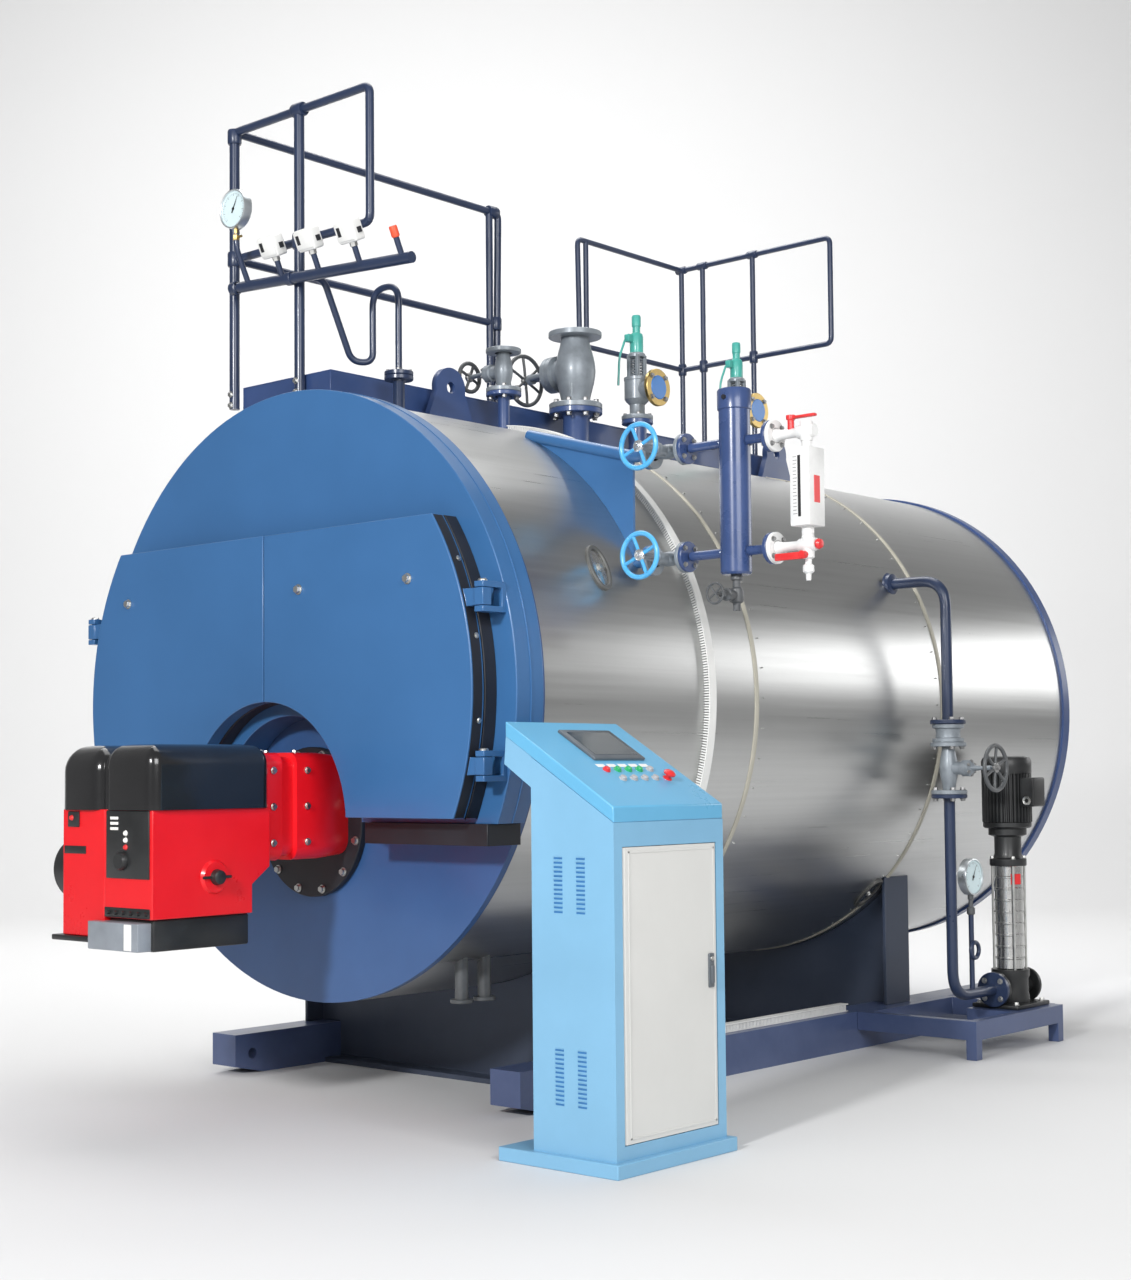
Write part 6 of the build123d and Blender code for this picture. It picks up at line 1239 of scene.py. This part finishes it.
floor = bpy.data.objects.new("studio_floor", floor_mesh)
bpy.context.scene.collection.objects.link(floor)
world = bpy.data.worlds.new("studio_world")
bpy.context.scene.world = world
world.use_nodes = True
world.node_tree.nodes["Background"].inputs["Color"].default_value = (0.80, 0.80, 0.80, 1)
world.node_tree.nodes["Background"].inputs["Strength"].default_value = 0.31


def aim(thing, right, up, back, place):
    """Set a light or camera by its three directions and its place, as the columns of its matrix."""
    turn = np.eye(4)
    turn[:3] = np.stack([right, up, back, place], axis=-1)
    thing.matrix_world = Matrix(turn.tolist())
    bpy.context.scene.collection.objects.link(thing)


def soft_light(name, place, target, size, power):
    """Rectangular studio light that faces its target: its back points from the target to its place."""
    data = bpy.data.lights.new(name, "AREA")
    data.shape = "RECTANGLE"
    data.size, data.size_y = size
    data.energy = power
    back = np.subtract(place, target) / np.linalg.norm(np.subtract(place, target))
    level = np.cross(ALONG_Z, back)
    level /= np.linalg.norm(level)
    aim(bpy.data.objects.new(name, data), level, np.cross(back, level), back, place)


soft_light("key_light", (3.4, -10.6, 5.2), (0.0, -0.9, 1.2), (0.9, 0.9), 860)
soft_light("fill_light", (9.0, -4.5, 5.0), (0.8, 0.0, 1.2), (5.0, 4.0), 500)
soft_light("window_light", (6.4, 14.2, 4.5), (1.1, 1.4, 1.6), (8.4, 3.2), 240)
soft_light("top_light", (-1.0, 1.0, 8.5), (0.0, 0.8, 1.5), (5.0, 6.0), 240)
soft_light("backdrop_light", (-3.0, 2.5, 9.0), (-7.5, 8.5, 2.0), (10.0, 3.0), 1000)
camera_data = bpy.data.cameras.new("camera")
camera_data.sensor_width = 36.0
camera_data.lens = LENS_PIXELS / PICTURE_HEIGHT * camera_data.sensor_width
camera_data.shift_x = (PICTURE_WIDTH / 2 - CENTRE_X) / PICTURE_HEIGHT
camera_data.shift_y = (CENTRE_Y - PICTURE_HEIGHT / 2) / PICTURE_HEIGHT
camera = bpy.data.objects.new("camera", camera_data)
forward = AWAY * math.cos(VIEW_PITCH) + ALONG_Z * math.sin(VIEW_PITCH)
upright = np.cross(ASIDE, forward)
roll_cos, roll_sin = math.cos(VIEW_ROLL), math.sin(VIEW_ROLL)
aim(camera, roll_cos * ASIDE + roll_sin * upright, roll_cos * upright - roll_sin * ASIDE, -forward,
    VIEW_PLACE)
bpy.context.scene.camera = camera
bpy.context.scene.view_settings.view_transform = "Standard"
